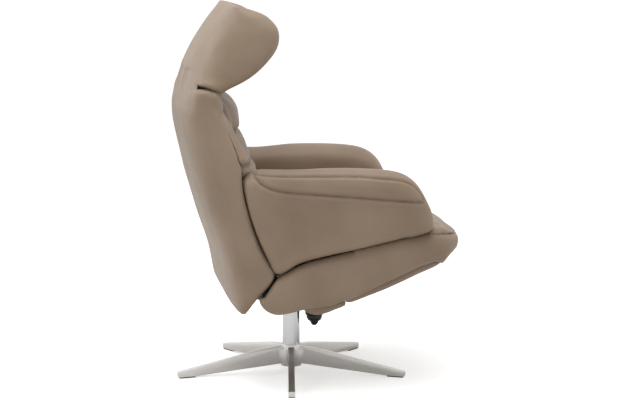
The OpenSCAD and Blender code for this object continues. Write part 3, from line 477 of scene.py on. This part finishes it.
# Puts a line onto the piece from outside, seen along a direction
def onSurface(piece, line, direction, reach):
    tree = skinTree(piece)
    hits = [tree.ray_cast(point - direction * reach, direction, reach * 2)[0] for point in line]
    return [hit for hit in hits if hit is not None]


# A smooth line through a few points, as many close points
def smoothLine(points, step):
    points = [Vector(p) for p in points]
    result = []
    for i in range(len(points) - 1):
        before = points[max(i - 1, 0)]
        a, b = points[i], points[i + 1]
        after = points[min(i + 2, len(points) - 1)]
        count = max(2, int((b - a).length / step))
        for k in range(count):
            t = k / count
            result.append(0.5 * ((2 * a) + (b - before) * t
                                 + (2 * before - 5 * a + 4 * b - after) * t * t
                                 + (3 * a - before - 3 * b + after) * t ** 3))
    result.append(points[-1])
    return result


# A seam's cross-section, in widths of its valley: how far it is looked for, where its lips stand
# and how wide they are, and how far gathers and the painted shade of the valley reach
seamShape = {
    "look": 8, "lipAt": 2.6, "lipWidth": 1.2, "gatherWidth": 5, "darkWidth": 0.75,
    "gatherSeed": 3.7, "chunk": 48}
paintedSeamShadeNotes = {}


def bell(distance, width):
    return np.exp(-(distance / width) ** 2)


# Presses a sewn valley with a puffed lip on both sides into the piece, along a line on its
# surface. Gathers run across the seam, and painted shade darkens where the valley is deepest.
def pressSeam(piece, line, seam):
    points, normals = getPoints(piece), getNormals(piece)
    line = np.array([tuple(p) for p in line])
    width, chunk = seam["width"], seamShape["chunk"]
    margin = seamShape["look"] * width
    low, high = line.min(axis=0) - margin, line.max(axis=0) + margin
    near = np.where(np.all((points > low) & (points < high), axis=1))[0]
    closest, along = np.full(len(near), np.inf), np.zeros(len(near))
    run = np.concatenate([[0], np.cumsum(np.linalg.norm(np.diff(line, axis=0), axis=1))])
    for start in range(0, len(line), chunk):
        gaps = np.linalg.norm(points[near][:, None, :] - line[None, start:start + chunk], axis=2)
        best = gaps.argmin(axis=1)
        gap = gaps[np.arange(len(near)), best]
        along = np.where(gap < closest, run[start + best], along)
        closest = np.minimum(closest, gap)
    lip = bell(closest - seamShape["lipAt"] * width, seamShape["lipWidth"] * width)
    step = -seam["depth"] * (bell(closest, width) - seam["puff"] * lip)
    wave = np.array([noise.noise(Vector((s / seam["pitch"], 0, seamShape["gatherSeed"])))
                     for s in along])
    step += seam["gather"] * wave * bell(closest, seamShape["gatherWidth"] * width)
    points[near] += normals[near] * step[:, None]
    setPoints(piece, points)
    # The painted shade of the seam valley, kept per point
    notes = paintedSeamShadeNotes.setdefault(piece.name, np.zeros(len(points)))
    shade = seam["dark"] * bell(closest, width * seamShape["darkWidth"])
    notes[near] = np.maximum(notes[near], shade)


# Shades the piece smooth and stores the seams' painted shade where the leather reads it
def writeSurface(piece):
    for polygon in piece.data.polygons:
        polygon.use_smooth = True
    notes = paintedSeamShadeNotes.get(piece.name)
    layer = piece.data.attributes.new("paintedSeamShade", "FLOAT", "POINT")
    count = len(piece.data.vertices)
    layer.data.foreach_set("value", np.zeros(count) if notes is None else notes)


gapCurve = 2.2  # how quickly the pull dies away with distance


# Draws a pad's skin up to its neighbours, so that only a thin line stays open between them
def closeGap(piece, others, gap, reach, where=None):
    points = getPoints(piece)
    picked = range(len(points)) if where is None else [int(i) for i in np.where(where)[0]]
    for other in others:
        tree = skinTree(other)
        for i in picked:
            spot = Vector(points[i])
            place, normal, _, far = tree.find_nearest(spot, reach)
            if place is None or far < gap or (spot - place).dot(normal) < 0:
                continue
            wanted = gap + (reach - gap) * ((far - gap) / (reach - gap)) ** gapCurve
            points[i] = place + (spot - place) * (wanted / far)
    setPoints(piece, points)


noiseShift = (1.0, 1.7, 0.6)  # which way a seed moves through the noise


# Small hand-made unevenness of leather over foam, stronger where weight() says
def ruffle(piece, height, size, seed, weight=None):
    points, normals = getPoints(piece), getNormals(piece)
    offset = Vector([seed * shift for shift in noiseShift])
    for i in range(len(points)):
        share = 1.0 if weight is None else weight(points[i])
        if share > 0:
            bend = noise.noise(Vector(points[i]) / size + offset)
            points[i] += normals[i] * height * share * bend
    setPoints(piece, points)


def finishPad(piece, body, replaced):
    writeSurface(piece)
    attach(piece, body)
    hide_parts(replaced)
    print(" ", piece.name, len(piece.data.polygons), "faces")


# Arms. The seams are (x, z) in metres; edge and drop rows are in millimetres: (x, z) of the
# line where the arm meets the seat body, and (x, how far that line or the top comes down).
arm = {
    "voxel": 0.0042, "smooth": 14, "fill": 0.8, "outer": 0.370,
    "ruffle": (0.0012, 0.08), "seed": 3,
    # In the seam, dark is how strongly painted shade darkens the valley
    "seam": {"depth": 0.0032, "width": 0.0044, "dark": 0.8, "puff": 0.35,
             "gather": 0.0006, "pitch": 0.014},
    "seamStep": 0.004, "seamReach": 0.06,
    "lowSeam": [(-0.097, 0.620), (-0.083, 0.603), (-0.062, 0.590), (-0.020, 0.578),
                (0.082, 0.569), (0.187, 0.560), (0.268, 0.552), (0.334, 0.546),
                (0.366, 0.545)],
    "highSeam": [(-0.118, 0.633), (-0.087, 0.625), (-0.018, 0.620), (0.078, 0.619),
                 (0.189, 0.617), (0.253, 0.611), (0.285, 0.608), (0.319, 0.600),
                 (0.347, 0.584), (0.368, 0.553)],
    "lowEdge": [(20, 376), (144, 417), (215, 438), (285, 456), (341, 468), (369, 477),
                (400, 490)],
    "lowDrop": [(20, 0), (72, 6.5), (144, 11), (215, 14.5), (285, 15), (341, 14), (385, 12),
                (410, 6), (440, 0)],
    "lowNear": (0.014, 0.075), "lowAcross": (0.212, 0.238),
    "topDrop": [(-80, 0), (-10, 3), (60, 5), (180, 5), (270, 3), (320, 0)],
    "topHeight": (0.58, 0.63),
    "farDrop": 0.007, "farAhead": (-0.02, 0.10), "farHeight": (0.56, 0.63),
    "frontPull": 0.013, "frontAhead": (0.33, 0.385), "frontHeight": (0.475, 0.56)}


# The line where arm and seat body meet is drawn down towards the front, the same on both
def dropArmLine(piece):
    points, x, across, z = sidePlaces(piece)
    share = fadeOut(np.abs(z - readRows(arm["lowEdge"], x)), *arm["lowNear"])
    points[:, 2] -= readRows(arm["lowDrop"], x) * share * fadeIn(across, *arm["lowAcross"])
    setPoints(piece, points)


# The far arm's rear stands a little lower in the photograph, so the left one comes down there
def makeArm(sign):
    sideName = "left" if sign > 0 else "right"
    piece = startPad("arm_" + sideName, "armPad" + sideName.title(), arm)
    dropArmLine(piece)
    points, x, across, z = sidePlaces(piece)
    points[:, 2] -= readRows(arm["topDrop"], x) * fadeIn(z, *arm["topHeight"])
    if sign > 0:
        share = fadeOut(x, *arm["farAhead"]) * fadeIn(z, *arm["farHeight"])
        points[:, 2] -= arm["farDrop"] * share
    share = fadeIn(x, *arm["frontAhead"]) * fadeOut(z, *arm["frontHeight"])
    points[:, 1] -= arm["frontPull"] * share
    setPoints(piece, points)
    ruffle(piece, *arm["ruffle"], arm["seed"] + sign)
    for key in ("lowSeam", "highSeam"):
        flat = smoothLine([at(x, sign * arm["outer"], z) for x, z in arm[key]], arm["seamStep"])
        seam = onSurface(piece, flat, Vector((-sign, 0, 0)), arm["seamReach"])
        pressSeam(piece, seam, arm["seam"])
    finishPad(piece, "seat", "arm_" + sideName)
    return piece


arms = [makeArm(sign) for sign in (1, -1)]
print("arms made")


# Seat body. Wall rows are in millimetres: (x, z) of the lower edge of its side walls, and
# (x, how far that edge comes down).
seatBody = {
    "voxel": 0.005, "smooth": 10, "fill": 0.8, "ruffle": (0.0014, 0.09, 11),
    "wallEdge": [(60, 252), (100, 262), (150, 278), (200, 298), (250, 318), (300, 342),
                 (350, 368), (380, 385), (400, 393), (420, 397), (480, 388)],
    "wallDrop": [(50, 0), (115, 12), (190, 14), (258, 12), (300, 13), (330, 15),
                 (360, 18), (388, 23), (410, 27), (425, 33), (438, 31), (448, 20),
                 (460, 9), (475, 3), (495, 0)],
    "wallNear": (0.010, 0.060), "wallAcross": (0.272, 0.292),
    "nosePull": 0.004, "noseAhead": (0.43, 0.49), "noseHeight": (0.40, 0.44),
    "armGap": (0.001, 0.020), "armFrom": 0.18, "armAbove": 0.38}


def makeSeatBody():
    pad = seatBody
    piece = startPad("seat_body", "seatBodyCover", pad)
    dropArmLine(piece)
    points, x, across, z = sidePlaces(piece)
    share = fadeOut(np.abs(z - readRows(pad["wallEdge"], x)), *pad["wallNear"])
    points[:, 2] -= readRows(pad["wallDrop"], x) * share * fadeIn(across, *pad["wallAcross"])
    share = fadeIn(x, *pad["noseAhead"]) * fadeIn(z, *pad["noseHeight"])
    points[:, 1] -= pad["nosePull"] * share
    setPoints(piece, points)
    closeGap(piece, arms, *pad["armGap"], (x > pad["armFrom"]) & (z > pad["armAbove"]))
    ruffle(piece, *pad["ruffle"])
    finishPad(piece, "seat", "seat_body")
    return piece


# Seat cushion: its front comes forward, and its side wings behind the nose go back and down,
# where the arms hold them
seatCushion = {
    "voxel": 0.005, "smooth": 10, "fill": 0.75, "firstGap": (0.0006, 0.016),
    "frontPull": 0.008, "frontAhead": (0.43, 0.48), "frontHeight": (0.45, 0.475),
    "wingBack": 0.022, "wingDown": 0.004, "wingAhead": (0.405, 0.435),
    "wingAcross": (0.243, 0.262), "wingHeight": (0.462, 0.474),
    "wingGap": (0.0006, 0.022), "wingBefore": 0.43, "wingOutside": 0.232,
    "noseEven": (0.41, 0.44), "noseRounds": 8, "lastGap": (0.0006, 0.008),
    "pressure": 3.0, "cap": 0.007, "freeNormal": 0.2, "freeFrom": -0.01,
    "evenRounds": 3, "ruffle": (0.0022, 0.075, 17),
    "crownAbove": 0.42, "sideShare": 0.3}


def makeSeatCushion(neighbours):
    pad = seatCushion
    piece = startPad("seat_cushion", "seatCushion", pad)
    points, x, across, z = sidePlaces(piece)
    share = fadeIn(x, *pad["frontAhead"]) * fadeOut(z, *pad["frontHeight"])
    points[:, 1] -= pad["frontPull"] * share
    setPoints(piece, points)
    closeGap(piece, neighbours, *pad["firstGap"])
    points, x, across, z = sidePlaces(piece)
    share = (fadeOut(x, *pad["wingAhead"]) * fadeIn(across, *pad["wingAcross"])
             * fadeOut(z, *pad["wingHeight"]))
    points[:, 1] += pad["wingBack"] * share
    points[:, 2] -= pad["wingDown"] * share
    setPoints(piece, points)
    closeGap(piece, neighbours, *pad["wingGap"],
             (x < pad["wingBefore"]) & (across > pad["wingOutside"]))
    evenOut(piece, fadeIn(x, *pad["noseEven"]), pad["noseRounds"])
    closeGap(piece, neighbours, *pad["lastGap"])
    points, x, across, z = sidePlaces(piece)
    held = (getNormals(piece)[:, 2] < pad["freeNormal"]) | (x < pad["freeFrom"])
    inflate(piece, held, pad["pressure"], pad["cap"])
    relax(piece, pad["evenRounds"])
    ruffle(piece, *pad["ruffle"],
           lambda p: 1.0 if p[2] > pad["crownAbove"] else pad["sideShare"])
    finishPad(piece, "seat", "seat_cushion")
    return piece


legRest = {
    "voxel": 0.005, "smooth": 8, "fill": 0.7, "ruffle": (0.0012, 0.07, 23),
    "rearIn": 0.002, "rearOver": 0.02}


def makeLegRest():
    piece = startPad("leg_rest_pad", "legRestPad", legRest)
    points, x, across, z = sidePlaces(piece)
    points[:, 1] += legRest["rearIn"] * fadeOut(x, x.min(), x.min() + legRest["rearOver"])
    setPoints(piece, points)
    ruffle(piece, *legRest["ruffle"])
    finishPad(piece, "leg_rest", "leg_rest_pad")


underside = {"voxel": 0.004, "evenRounds": 8, "fill": 0.6, "frontOut": 0.005, "frontOver": 0.03}


# The cover behind the leg rest stays flat and thin, so it is only remeshed and evened
def makeUndersideCover():
    piece = copySolid("underside_cover", "undersideCover")
    applyModifier(piece, "REMESH", {"mode": "VOXEL", "voxel_size": underside["voxel"]})
    relax(piece, underside["evenRounds"])
    points, x, across, z = sidePlaces(piece)
    points[:, 1] -= underside["frontOut"] * fadeIn(x, x.max() - underside["frontOver"], x.max())
    setPoints(piece, points)
    finishPad(piece, "seat", "underside_cover")


# How the finished seat pads are drawn together: (gap left open, reach)
seatJoins = {"armGap": (0.001, 0.010), "armFrontGap": (0.001, 0.024), "noseGap": (0.0006, 0.014),
             "frontFrom": 0.33}

seatCover = makeSeatBody()
for armPad in arms:
    closeGap(armPad, [seatCover], *seatJoins["armGap"])
    closeGap(armPad, [seatCover], *seatJoins["armFrontGap"],
             sidePlaces(armPad)[1] > seatJoins["frontFrom"])
cushionPad = makeSeatCushion([seatCover] + arms)
closeGap(seatCover, [cushionPad], *seatJoins["noseGap"],
         sidePlaces(seatCover)[1] > seatJoins["frontFrom"])
makeLegRest()
makeUndersideCover()
print("seat made")


# Between back and headrest the joint rises at both sides, as it does on the real chair. It
# rises fully behind "peak" and not at all ahead of "frontEnd".
joint = {
    "height": 0.8378, "rise": 0.019, "peak": -0.238, "frontEnd": -0.165, "reach": 0.085,
    "across": (0.13, 0.25)}


def liftJoint(piece):
    points, x, across, z = sidePlaces(piece)
    share = (fadeIn(across, *joint["across"]) * fadeOut(x, joint["peak"], joint["frontEnd"])
             * fadeOut(np.abs(z - joint["height"]), 0, joint["reach"]))
    points[:, 2] += joint["rise"] * share
    setPoints(piece, points)


# The rear outline of back and headrest, in millimetres: (z, x) of the line, and (z, how far
# forward it comes)
rear = {
    "line": [(640, -273), (751, -295), (808, -303), (866, -294), (911, -279), (973, -250),
             (1036, -212), (1079, -180), (1100, -165)],
    "slide": [(790, 0), (840, 9), (868, 11.5), (885, 8), (905, 5.5), (973, 5), (1036, 7),
              (1078, 11)],
    "near": (0.015, 0.085), "topDrop": 0.009, "topHeight": (1.0, 1.08),
    "evenHeight": (0.99, 1.04), "evenBehind": (-0.10, -0.05), "evenRounds": 30}


# Brings the rear outline in and the headrest's top down a little
def trimRear(piece):
    points, x, across, z = sidePlaces(piece)
    share = fadeOut(x - readRows(rear["line"], z), *rear["near"])
    points[:, 1] -= readRows(rear["slide"], z) * share
    points[:, 2] -= rear["topDrop"] * fadeIn(z, *rear["topHeight"])
    setPoints(piece, points)
    share = fadeIn(z, *rear["evenHeight"]) * fadeOut(x, *rear["evenBehind"])
    evenOut(piece, share, rear["evenRounds"])


# Cuts the hinge bracket's pocket and its mirror image out of a finished cover. Their tops may
# lean forward.
def cutPockets(piece, pocket):
    for low, high in sideBoxes(pocket, (1, -1)):
        middle = [(low[i] + high[i]) / 2 for i in range(3)]
        deselectAll()
        bpy.ops.mesh.primitive_cube_add(size=1, location=middle)
        cutter = bpy.context.object
        cutter.scale = [high[i] - low[i] for i in range(3)]
        bpy.ops.object.transform_apply(location=True, rotation=True, scale=True)
        for vertex in cutter.data.vertices:
            if vertex.co.z > middle[2]:
                vertex.co.y -= pocket["lean"]
        applyModifier(piece, "BOOLEAN", {"operation": "DIFFERENCE", "object": cutter,
                                         "solver": "EXACT"})
        bpy.data.objects.remove(cutter)


bracketAlong = (seatLine + 0.242, seatLine + 0.267)
skins = {}  # both covers' faces before their pockets are cut

# Back shell: its front rim comes forward towards the top corners, by (z, pull) in millimetres,
# and the hide is crumpled there
backShell = {
    "voxel": 0.0055, "smooth": 14, "fill": 0.8, "ruffle": (0.0016, 0.10, 31),
    "closed": {"across": (0.057, 0.083), "along": (-1, 1), "height": (0.80, 0.85)},
    "pocket": {"across": (0.058, 0.082), "along": bracketAlong,
               "height": (0.812, 0.87), "lean": 0},
    "rimPull": [(700, 0), (741, 6), (778, 12), (800, 18), (830, 26), (860, 28)],
    "rimAhead": (-0.262, -0.20), "rimAcross": (0.20, 0.25),
    "crumple": (0.006, 0.022, 33), "crumpleHeight": (0.765, 0.80),
    "crumpleAhead": (-0.225, -0.20), "crumpleAcross": (0.21, 0.25),
    "armGap": (0.002, 0.009)}


def crumpleShare(p):
    pad = backShell
    return float(fadeIn(p[2], *pad["crumpleHeight"])
                 * fadeIn(seatLine - p[1], *pad["crumpleAhead"])
                 * fadeIn(abs(p[0]), *pad["crumpleAcross"]))


def makeBackShell():
    pad = backShell
    piece = startPad("back_shell", "backShellCover", pad)
    liftJoint(piece)
    trimRear(piece)
    points, x, across, z = sidePlaces(piece)
    share = fadeIn(x, *pad["rimAhead"]) * fadeIn(across, *pad["rimAcross"])
    points[:, 1] -= readRows(pad["rimPull"], z) * share
    setPoints(piece, points)
    ruffle(piece, *pad["ruffle"])
    ruffle(piece, *pad["crumple"], crumpleShare)
    skins["shell"] = skinTree(piece)
    cutPockets(piece, pad["pocket"])
    closeGap(piece, arms, *pad["armGap"])
    finishPad(piece, "back", "back_shell")
    return piece


# Back cushion: quilted in rows and columns between two side bolsters. Seams start as straight
# lines in front of it and are thrown back onto it.
backCushion = {
    "voxel": 0.005, "smooth": 3, "fill": 0.7,
    "midPull": 0.013, "midFacing": (0.0, 0.5), "midAcross": (0.19, 0.24),
    "midHeight": (0.58, 0.64), "midEase": 0.4, "midEaseHeight": (0.80, 0.835),
    "shellGap": (0.0008, 0.014),
    "seamAhead": -0.3, "seamReach": 0.9, "seamStep": 0.004,
    "rows": [0.355, 0.448, 0.541, 0.634, 0.727], "halfWidth": 0.236, "halfSteps": 60,
    "columns": [-0.084, 0.084], "columnFrom": 0.37, "columnSteps": 113,
    # In both seams, dark is how strongly painted shade darkens the valley
    "quiltSeam": {"depth": 0.0035, "width": 0.0075, "dark": 0.45, "puff": 0.25,
                  "gather": 0.0030, "pitch": 0.016},
    "bolsters": [0.246, -0.246], "bolsterFrom": 0.655, "bolsterSteps": 45,
    "bolsterSeam": {"depth": 0.005, "width": 0.006, "dark": 0.7, "puff": 0.3,
                    "gather": 0.0025, "pitch": 0.018},
    "pressure": 3.5, "cap": 0.009, "heldNormal": -0.05, "heldShade": 0.16,
    "evenRounds": 2, "ruffle": (0.0026, 0.035, 37), "frontOf": 0.15}


def makeBackCushion(shell):
    pad = backCushion
    piece = startPad("back_cushion", "backCushion", pad)
    points, x, across, z = sidePlaces(piece)
    share = (fadeIn(-getNormals(piece)[:, 1], *pad["midFacing"])
             * fadeOut(across, *pad["midAcross"]) * fadeIn(z, *pad["midHeight"]))
    ease = 1 - pad["midEase"] * fadeIn(z, *pad["midEaseHeight"])
    points[:, 1] -= pad["midPull"] * share * ease
    setPoints(piece, points)
    closeGap(piece, [shell], *pad["shellGap"])

    def rising(across, low, steps):
        return [Vector((across, pad["seamAhead"], low + i * pad["seamStep"]))
                for i in range(steps)]

    steps = pad["halfSteps"]
    lines = [([Vector((i / steps * pad["halfWidth"], pad["seamAhead"], z))
               for i in range(-steps, steps + 1)], "quiltSeam") for z in pad["rows"]]
    lines += [(rising(across, pad["columnFrom"], pad["columnSteps"]), "quiltSeam")
              for across in pad["columns"]]
    lines += [(rising(across, pad["bolsterFrom"], pad["bolsterSteps"]), "bolsterSeam")
              for across in pad["bolsters"]]
    for line, kind in lines:
        seam = onSurface(piece, line, Vector((0, 1, 0)), pad["seamReach"])
        pressSeam(piece, seam, pad[kind])
    held = ((getNormals(piece)[:, 1] > pad["heldNormal"])
            | (paintedSeamShadeNotes[piece.name] > pad["heldShade"]))
    inflate(piece, held, pad["pressure"], pad["cap"])
    relax(piece, pad["evenRounds"])
    ruffle(piece, *pad["ruffle"], lambda p: 1.0 if p[1] < seatLine + pad["frontOf"] else 0.0)
    finishPad(piece, "back", "back_cushion")


headrest = {
    "voxel": 0.0055, "smooth": 18, "fill": 0.85, "ruffle": (0.0014, 0.10, 41),
    "closed": {"across": (0.0622, 0.083), "along": (-1, 1), "height": (0.83, 0.90)},
    "pocket": {"across": (0.0624, 0.082), "along": bracketAlong,
               "height": (0.80, 0.8875), "lean": 0.012}}


def makeHeadrest():
    piece = startPad("headrest_pad", "headrestPad", headrest)
    liftJoint(piece)
    trimRear(piece)
    ruffle(piece, *headrest["ruffle"])
    skins["headrest"] = skinTree(piece)
    cutPockets(piece, headrest["pocket"])
    finishPad(piece, "headrest", "headrest_pad")


# Join band. It is a fan of columns, "turn" degrees to each side of straight back. Each column
# starts from four places on the back and four on the headrest and bridges the joint between.
band = {
    "columns": 97, "turn": 73, "centre": -0.20, "aside": 0.10, "castFrom": 0.6,
    "castReach": 0.62, "low": 0.788, "high": 0.902, "rowStep": 0.005, "endRows": 4,
    "liftFrom": 0.55, "liftOver": 0.4, "columnEvening": 5, "rows": 21, "skinReach": 0.06,
    "gridEvening": 24, "proud": 0.0026, "sunk": 0.0012, "rimOver": 0.22, "endOver": 0.12,
    "endSunk": 0.004, "thickness": 0.0022, "hinge": -0.27, "bendHalf": 0.017}


# Where each column meets the two covers. A column that misses one of them is left out.
def bandColumns():
    steps = [band["rowStep"] * i for i in range(band["endRows"])]
    spots = ([(skins["shell"], band["low"] + step) for step in steps]
             + [(skins["headrest"], band["high"] - step) for step in steps[::-1]])
    shares, columns = [], []
    for i in range(band["columns"]):
        share = i / (band["columns"] - 1) * 2 - 1
        turn = math.radians(90 + band["turn"] * share)
        outward = Vector((math.cos(turn), math.sin(turn), 0))
        centre = at(band["centre"], 0, 0) + Vector((-band["aside"] * share, 0, 0))
        rising = min(max((abs(share) - band["liftFrom"]) / band["liftOver"], 0), 1)
        lift = joint["rise"] * rising
        hits = []
        for tree, z in spots:
            start = centre + Vector((0, 0, z + lift)) + outward * band["castFrom"]
            hits.append(tree.ray_cast(start, -outward, band["castReach"])[0])
        if all(hit is not None for hit in hits):
            shares.append(share)
            columns.append([tuple(hit) for hit in hits])
    columns = np.array(columns)
    for _ in range(band["columnEvening"]):
        columns[1:-1] = 0.5 * columns[1:-1] + 0.25 * (columns[:-2] + columns[2:])
    return shares, columns


# One smooth curve per column from back to headrest, laid over whichever cover stands out further
def bandGrid(columns):
    grid, aims = np.zeros((len(columns), band["rows"], 3)), []
    for i, places in enumerate(columns):
        column = [Vector(place) for place in places]
        low, high = column[1], column[6]
        lowSlope = (column[3] - column[0]) / (column[3].z - column[0].z)
        highSlope = (column[7] - column[4]) / (column[7].z - column[4].z)
        tall = high.z - low.z
        outward = Vector((low.x, low.y - at(band["centre"], 0, 0).y, 0)).normalized()
        aims.append(outward)
        for k in range(band["rows"]):
            t = k / (band["rows"] - 1)
            place = ((2 * t ** 3 - 3 * t * t + 1) * low
                     + (t ** 3 - 2 * t * t + t) * tall * lowSlope
                     + (3 * t * t - 2 * t ** 3) * high + (t ** 3 - t * t) * tall * highSlope)
            for tree in (skins["shell"], skins["headrest"]):
                start = place + outward * band["skinReach"]
                hit = tree.ray_cast(start, -outward, band["skinReach"])[0]
                place = place if hit is None else hit
            grid[i, k] = place
    for _ in range(band["gridEvening"]):
        grid[1:-1, 1:-1] = 0.25 * (grid[:-2, 1:-1] + grid[2:, 1:-1]
                                   + grid[1:-1, :-2] + grid[1:-1, 2:])
    return grid, aims


# One strip of hide runs on from the back to the headrest round the rear and hides the hinge.
# Its rims and ends sink into the covers.
def makeJoinBand():
    shares, columns = bandColumns()
    grid, aims = bandGrid(columns)
    rows = band["rows"]
    corners, faces = [], []
    for i, share in enumerate(shares):
        fade = min(1, (1 - abs(share)) / band["endOver"])
        for k in range(rows):
            t = k / (rows - 1)
            proud = band["proud"] * min(1, min(t, 1 - t) / band["rimOver"]) - band["sunk"]
            step = aims[i] * (proud * fade - band["endSunk"] * (1 - fade))
            corners.append(tuple(Vector(grid[i, k]) + step))
    for i in range(len(shares) - 1):
        for k in range(rows - 1):
            a = i * rows + k
            faces.append((a, a + rows, a + rows + 1, a + 1))
    mesh = bpy.data.meshes.new("joinBand")
    mesh.from_pydata(corners, [], faces)
    piece = bpy.data.objects.new("joinBand", mesh)
    scene.collection.objects.link(piece)
    mesh.materials.append(leatherMaterial)
    applyModifier(piece, "SOLIDIFY", {"thickness": band["thickness"], "offset": -1.0})
    writeSurface(piece)
    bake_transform(piece)
    print(" ", piece.name, len(mesh.polygons), "faces")


makeBackCushion(makeBackShell())
makeHeadrest()
makeJoinBand()
print("back made")


starBase = {
    "edgeRadius": 0.0030, "segments": 3, "edgeAngle": 28, "smoothAngle": 32,
    "flatAngle": 0.5}


# The casting's edges are broken by a small radius, which catches the light
def makeStarBase():
    mesh = nodes["star_base"].data.copy()
    piece = bpy.data.objects.new("starBaseCasting", mesh)
    scene.collection.objects.link(piece)
    shape = bmesh.new()
    shape.from_mesh(mesh)
    bmesh.ops.remove_doubles(shape, verts=shape.verts, dist=mergeGap)
    bmesh.ops.dissolve_limit(shape, angle_limit=math.radians(starBase["flatAngle"]),
                             verts=shape.verts, edges=shape.edges)
    shape.to_mesh(mesh)
    shape.free()
    applyModifier(piece, "BEVEL", {"width": starBase["edgeRadius"],
                                   "segments": starBase["segments"], "limit_method": "ANGLE",
                                   "angle_limit": math.radians(starBase["edgeAngle"]),
                                   "use_clamp_overlap": True})
    makeActive(piece)
    bpy.ops.object.shade_smooth_by_angle(angle=math.radians(starBase["smoothAngle"]))
    mesh.materials.clear()
    mesh.materials.append(castMaterial)
    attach(piece, "base")
    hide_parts("star_base")


makeStarBase()
print("base made")


# Studio. The camera's rays see a white world and a brighter floor, and the object is lit at the
# lower level. Gloss sees white too, a little darker on the side where the camera stands.
studio = {
    "floorColour": "#e9e8e6", "floorSize": 160.0, "floorDrop": 0.0005,
    "floorRoughness": 0.9, "floorSpecular": 0.1, "floorGlow": 0.48,
    "white": "#ffffff", "worldLevel": 0.68, "darkLevel": 0.85,
    "darkTowards": (-0.93, 0.15, 0.0), "darkFrom": 0.35, "darkTo": 0.9}


def makeFloor():
    deselectAll()
    bpy.ops.mesh.primitive_plane_add(size=studio["floorSize"],
                                     location=(0, 0, -studio["floorDrop"]))
    floor = bpy.context.object
    bpy.ops.object.transform_apply(location=True, rotation=True, scale=True)
    floor.name = "studioFloor"
    material, tree, shader = newMaterial("paintedFloor", {
        "Roughness": studio["floorRoughness"], "Specular IOR Level": studio["floorSpecular"],
        "Base Color": toLinear(studio["floorColour"])})
    ray = addNode(tree, "ShaderNodeLightPath")
    glow = addNode(tree, "ShaderNodeMath", {"operation": "MULTIPLY"},
                   {0: (ray, "Is Camera Ray")}, {"Value": (shader, "Emission Strength")})
    glow.inputs[1].default_value = studio["floorGlow"]
    floor.data.materials.append(material)


def makeWorld():
    world = bpy.data.worlds.new("studioWorld")
    scene.world = world
    world.use_nodes = True
    tree = world.node_tree
    background = tree.nodes["Background"]
    ray = addNode(tree, "ShaderNodeLightPath")
    seen = addNode(tree, "ShaderNodeMath", {"operation": "MAXIMUM"},
                   {0: (ray, "Is Camera Ray"), 1: (ray, "Is Transmission Ray")})
    place = addNode(tree, "ShaderNodeTexCoord")
    towards = addNode(tree, "ShaderNodeVectorMath", {"operation": "DOT_PRODUCT"},
                      {0: (place, "Generated")})
    towards.inputs[1].default_value = studio["darkTowards"]
    dark = addNode(tree, "ShaderNodeMapRange",
                   {"From Min": studio["darkFrom"], "From Max": studio["darkTo"],
                    "To Min": 1.0, "To Max": studio["darkLevel"]}, {"Value": (towards, "Value")})
    glossy = addNode(tree, "ShaderNodeMath", {"operation": "MULTIPLY"},
                     {0: (ray, "Is Glossy Ray"), 1: (dark, "Result")})
    matt = addNode(tree, "ShaderNodeMath", {"operation": "SUBTRACT"},
                    {1: (ray, "Is Glossy Ray")})
    matt.inputs[0].default_value = 1.0
    level = addNode(tree, "ShaderNodeMath", {"operation": "MULTIPLY_ADD"},
                    {0: (matt, "Value"), 2: (glossy, "Value")})
    level.inputs[1].default_value = studio["worldLevel"]
    addNode(tree, "ShaderNodeMath", {"operation": "MAXIMUM"},
            {0: (level, "Value"), 1: (seen, "Value")}, {"Value": (background, "Strength")})
    background.inputs["Color"].default_value = toLinear(studio["white"])


lamps = [
    {"name": "overhead", "place": (-0.5, 0.5, 3.6), "aim": (0, 0, 0.5),
     "size": (3.4, 3.0), "power": 82},
    {"name": "rearWindow", "place": (1.6, 3.5, 1.9), "aim": (0, 0.2, 0.7),
     "size": (2.2, 2.6), "power": 38},
    {"name": "frontWindow", "place": (-0.6, -3.8, 1.8), "aim": (0, -0.2, 0.5),
     "size": (2.0, 2.4), "power": 12},
]


def makeLamps():
    for lamp in lamps:
        light = bpy.data.lights.new(lamp["name"], "AREA")
        light.shape = "RECTANGLE"
        light.size, light.size_y = lamp["size"]
        light.energy = lamp["power"]
        holder = bpy.data.objects.new(lamp["name"], light)
        scene.collection.objects.link(holder)
        holder.location = lamp["place"]
        aim = Vector(lamp["aim"]) - Vector(lamp["place"])
        holder.rotation_euler = aim.to_track_quat("-Z", "Y").to_euler()


# Distances in metres, angles in degrees, and the focal length in pixels of the frame's width
photoCamera = {
    "distance": 5.5, "height": 1.322, "aside": 0.0718, "turn": 9.0, "pitch": 8.45,
    "focal": 1906, "frameWidth": 631, "sensor": 36}


def makeCamera():
    turn = math.radians(photoCamera["turn"])
    pitch = math.radians(photoCamera["pitch"])
    far, aside = photoCamera["distance"], photoCamera["aside"]
    data = bpy.data.cameras.new("photoCamera")
    data.sensor_width = photoCamera["sensor"]
    data.lens = photoCamera["focal"] / photoCamera["frameWidth"] * photoCamera["sensor"]
    camera = bpy.data.objects.new("photoCamera", data)
    scene.collection.objects.link(camera)
    camera.location = (-far * math.cos(turn) - aside * math.sin(turn),
                       axisY + far * math.sin(turn) - aside * math.cos(turn),
                       photoCamera["height"])
    look = Vector((math.cos(turn) * math.cos(pitch), -math.sin(turn) * math.cos(pitch),
                   -math.sin(pitch)))
    camera.rotation_euler = look.to_track_quat("-Z", "Y").to_euler()
    scene.camera = camera


makeFloor()
makeWorld()
makeLamps()
makeCamera()
scene.view_settings.view_transform = "Standard"
print("studio made")
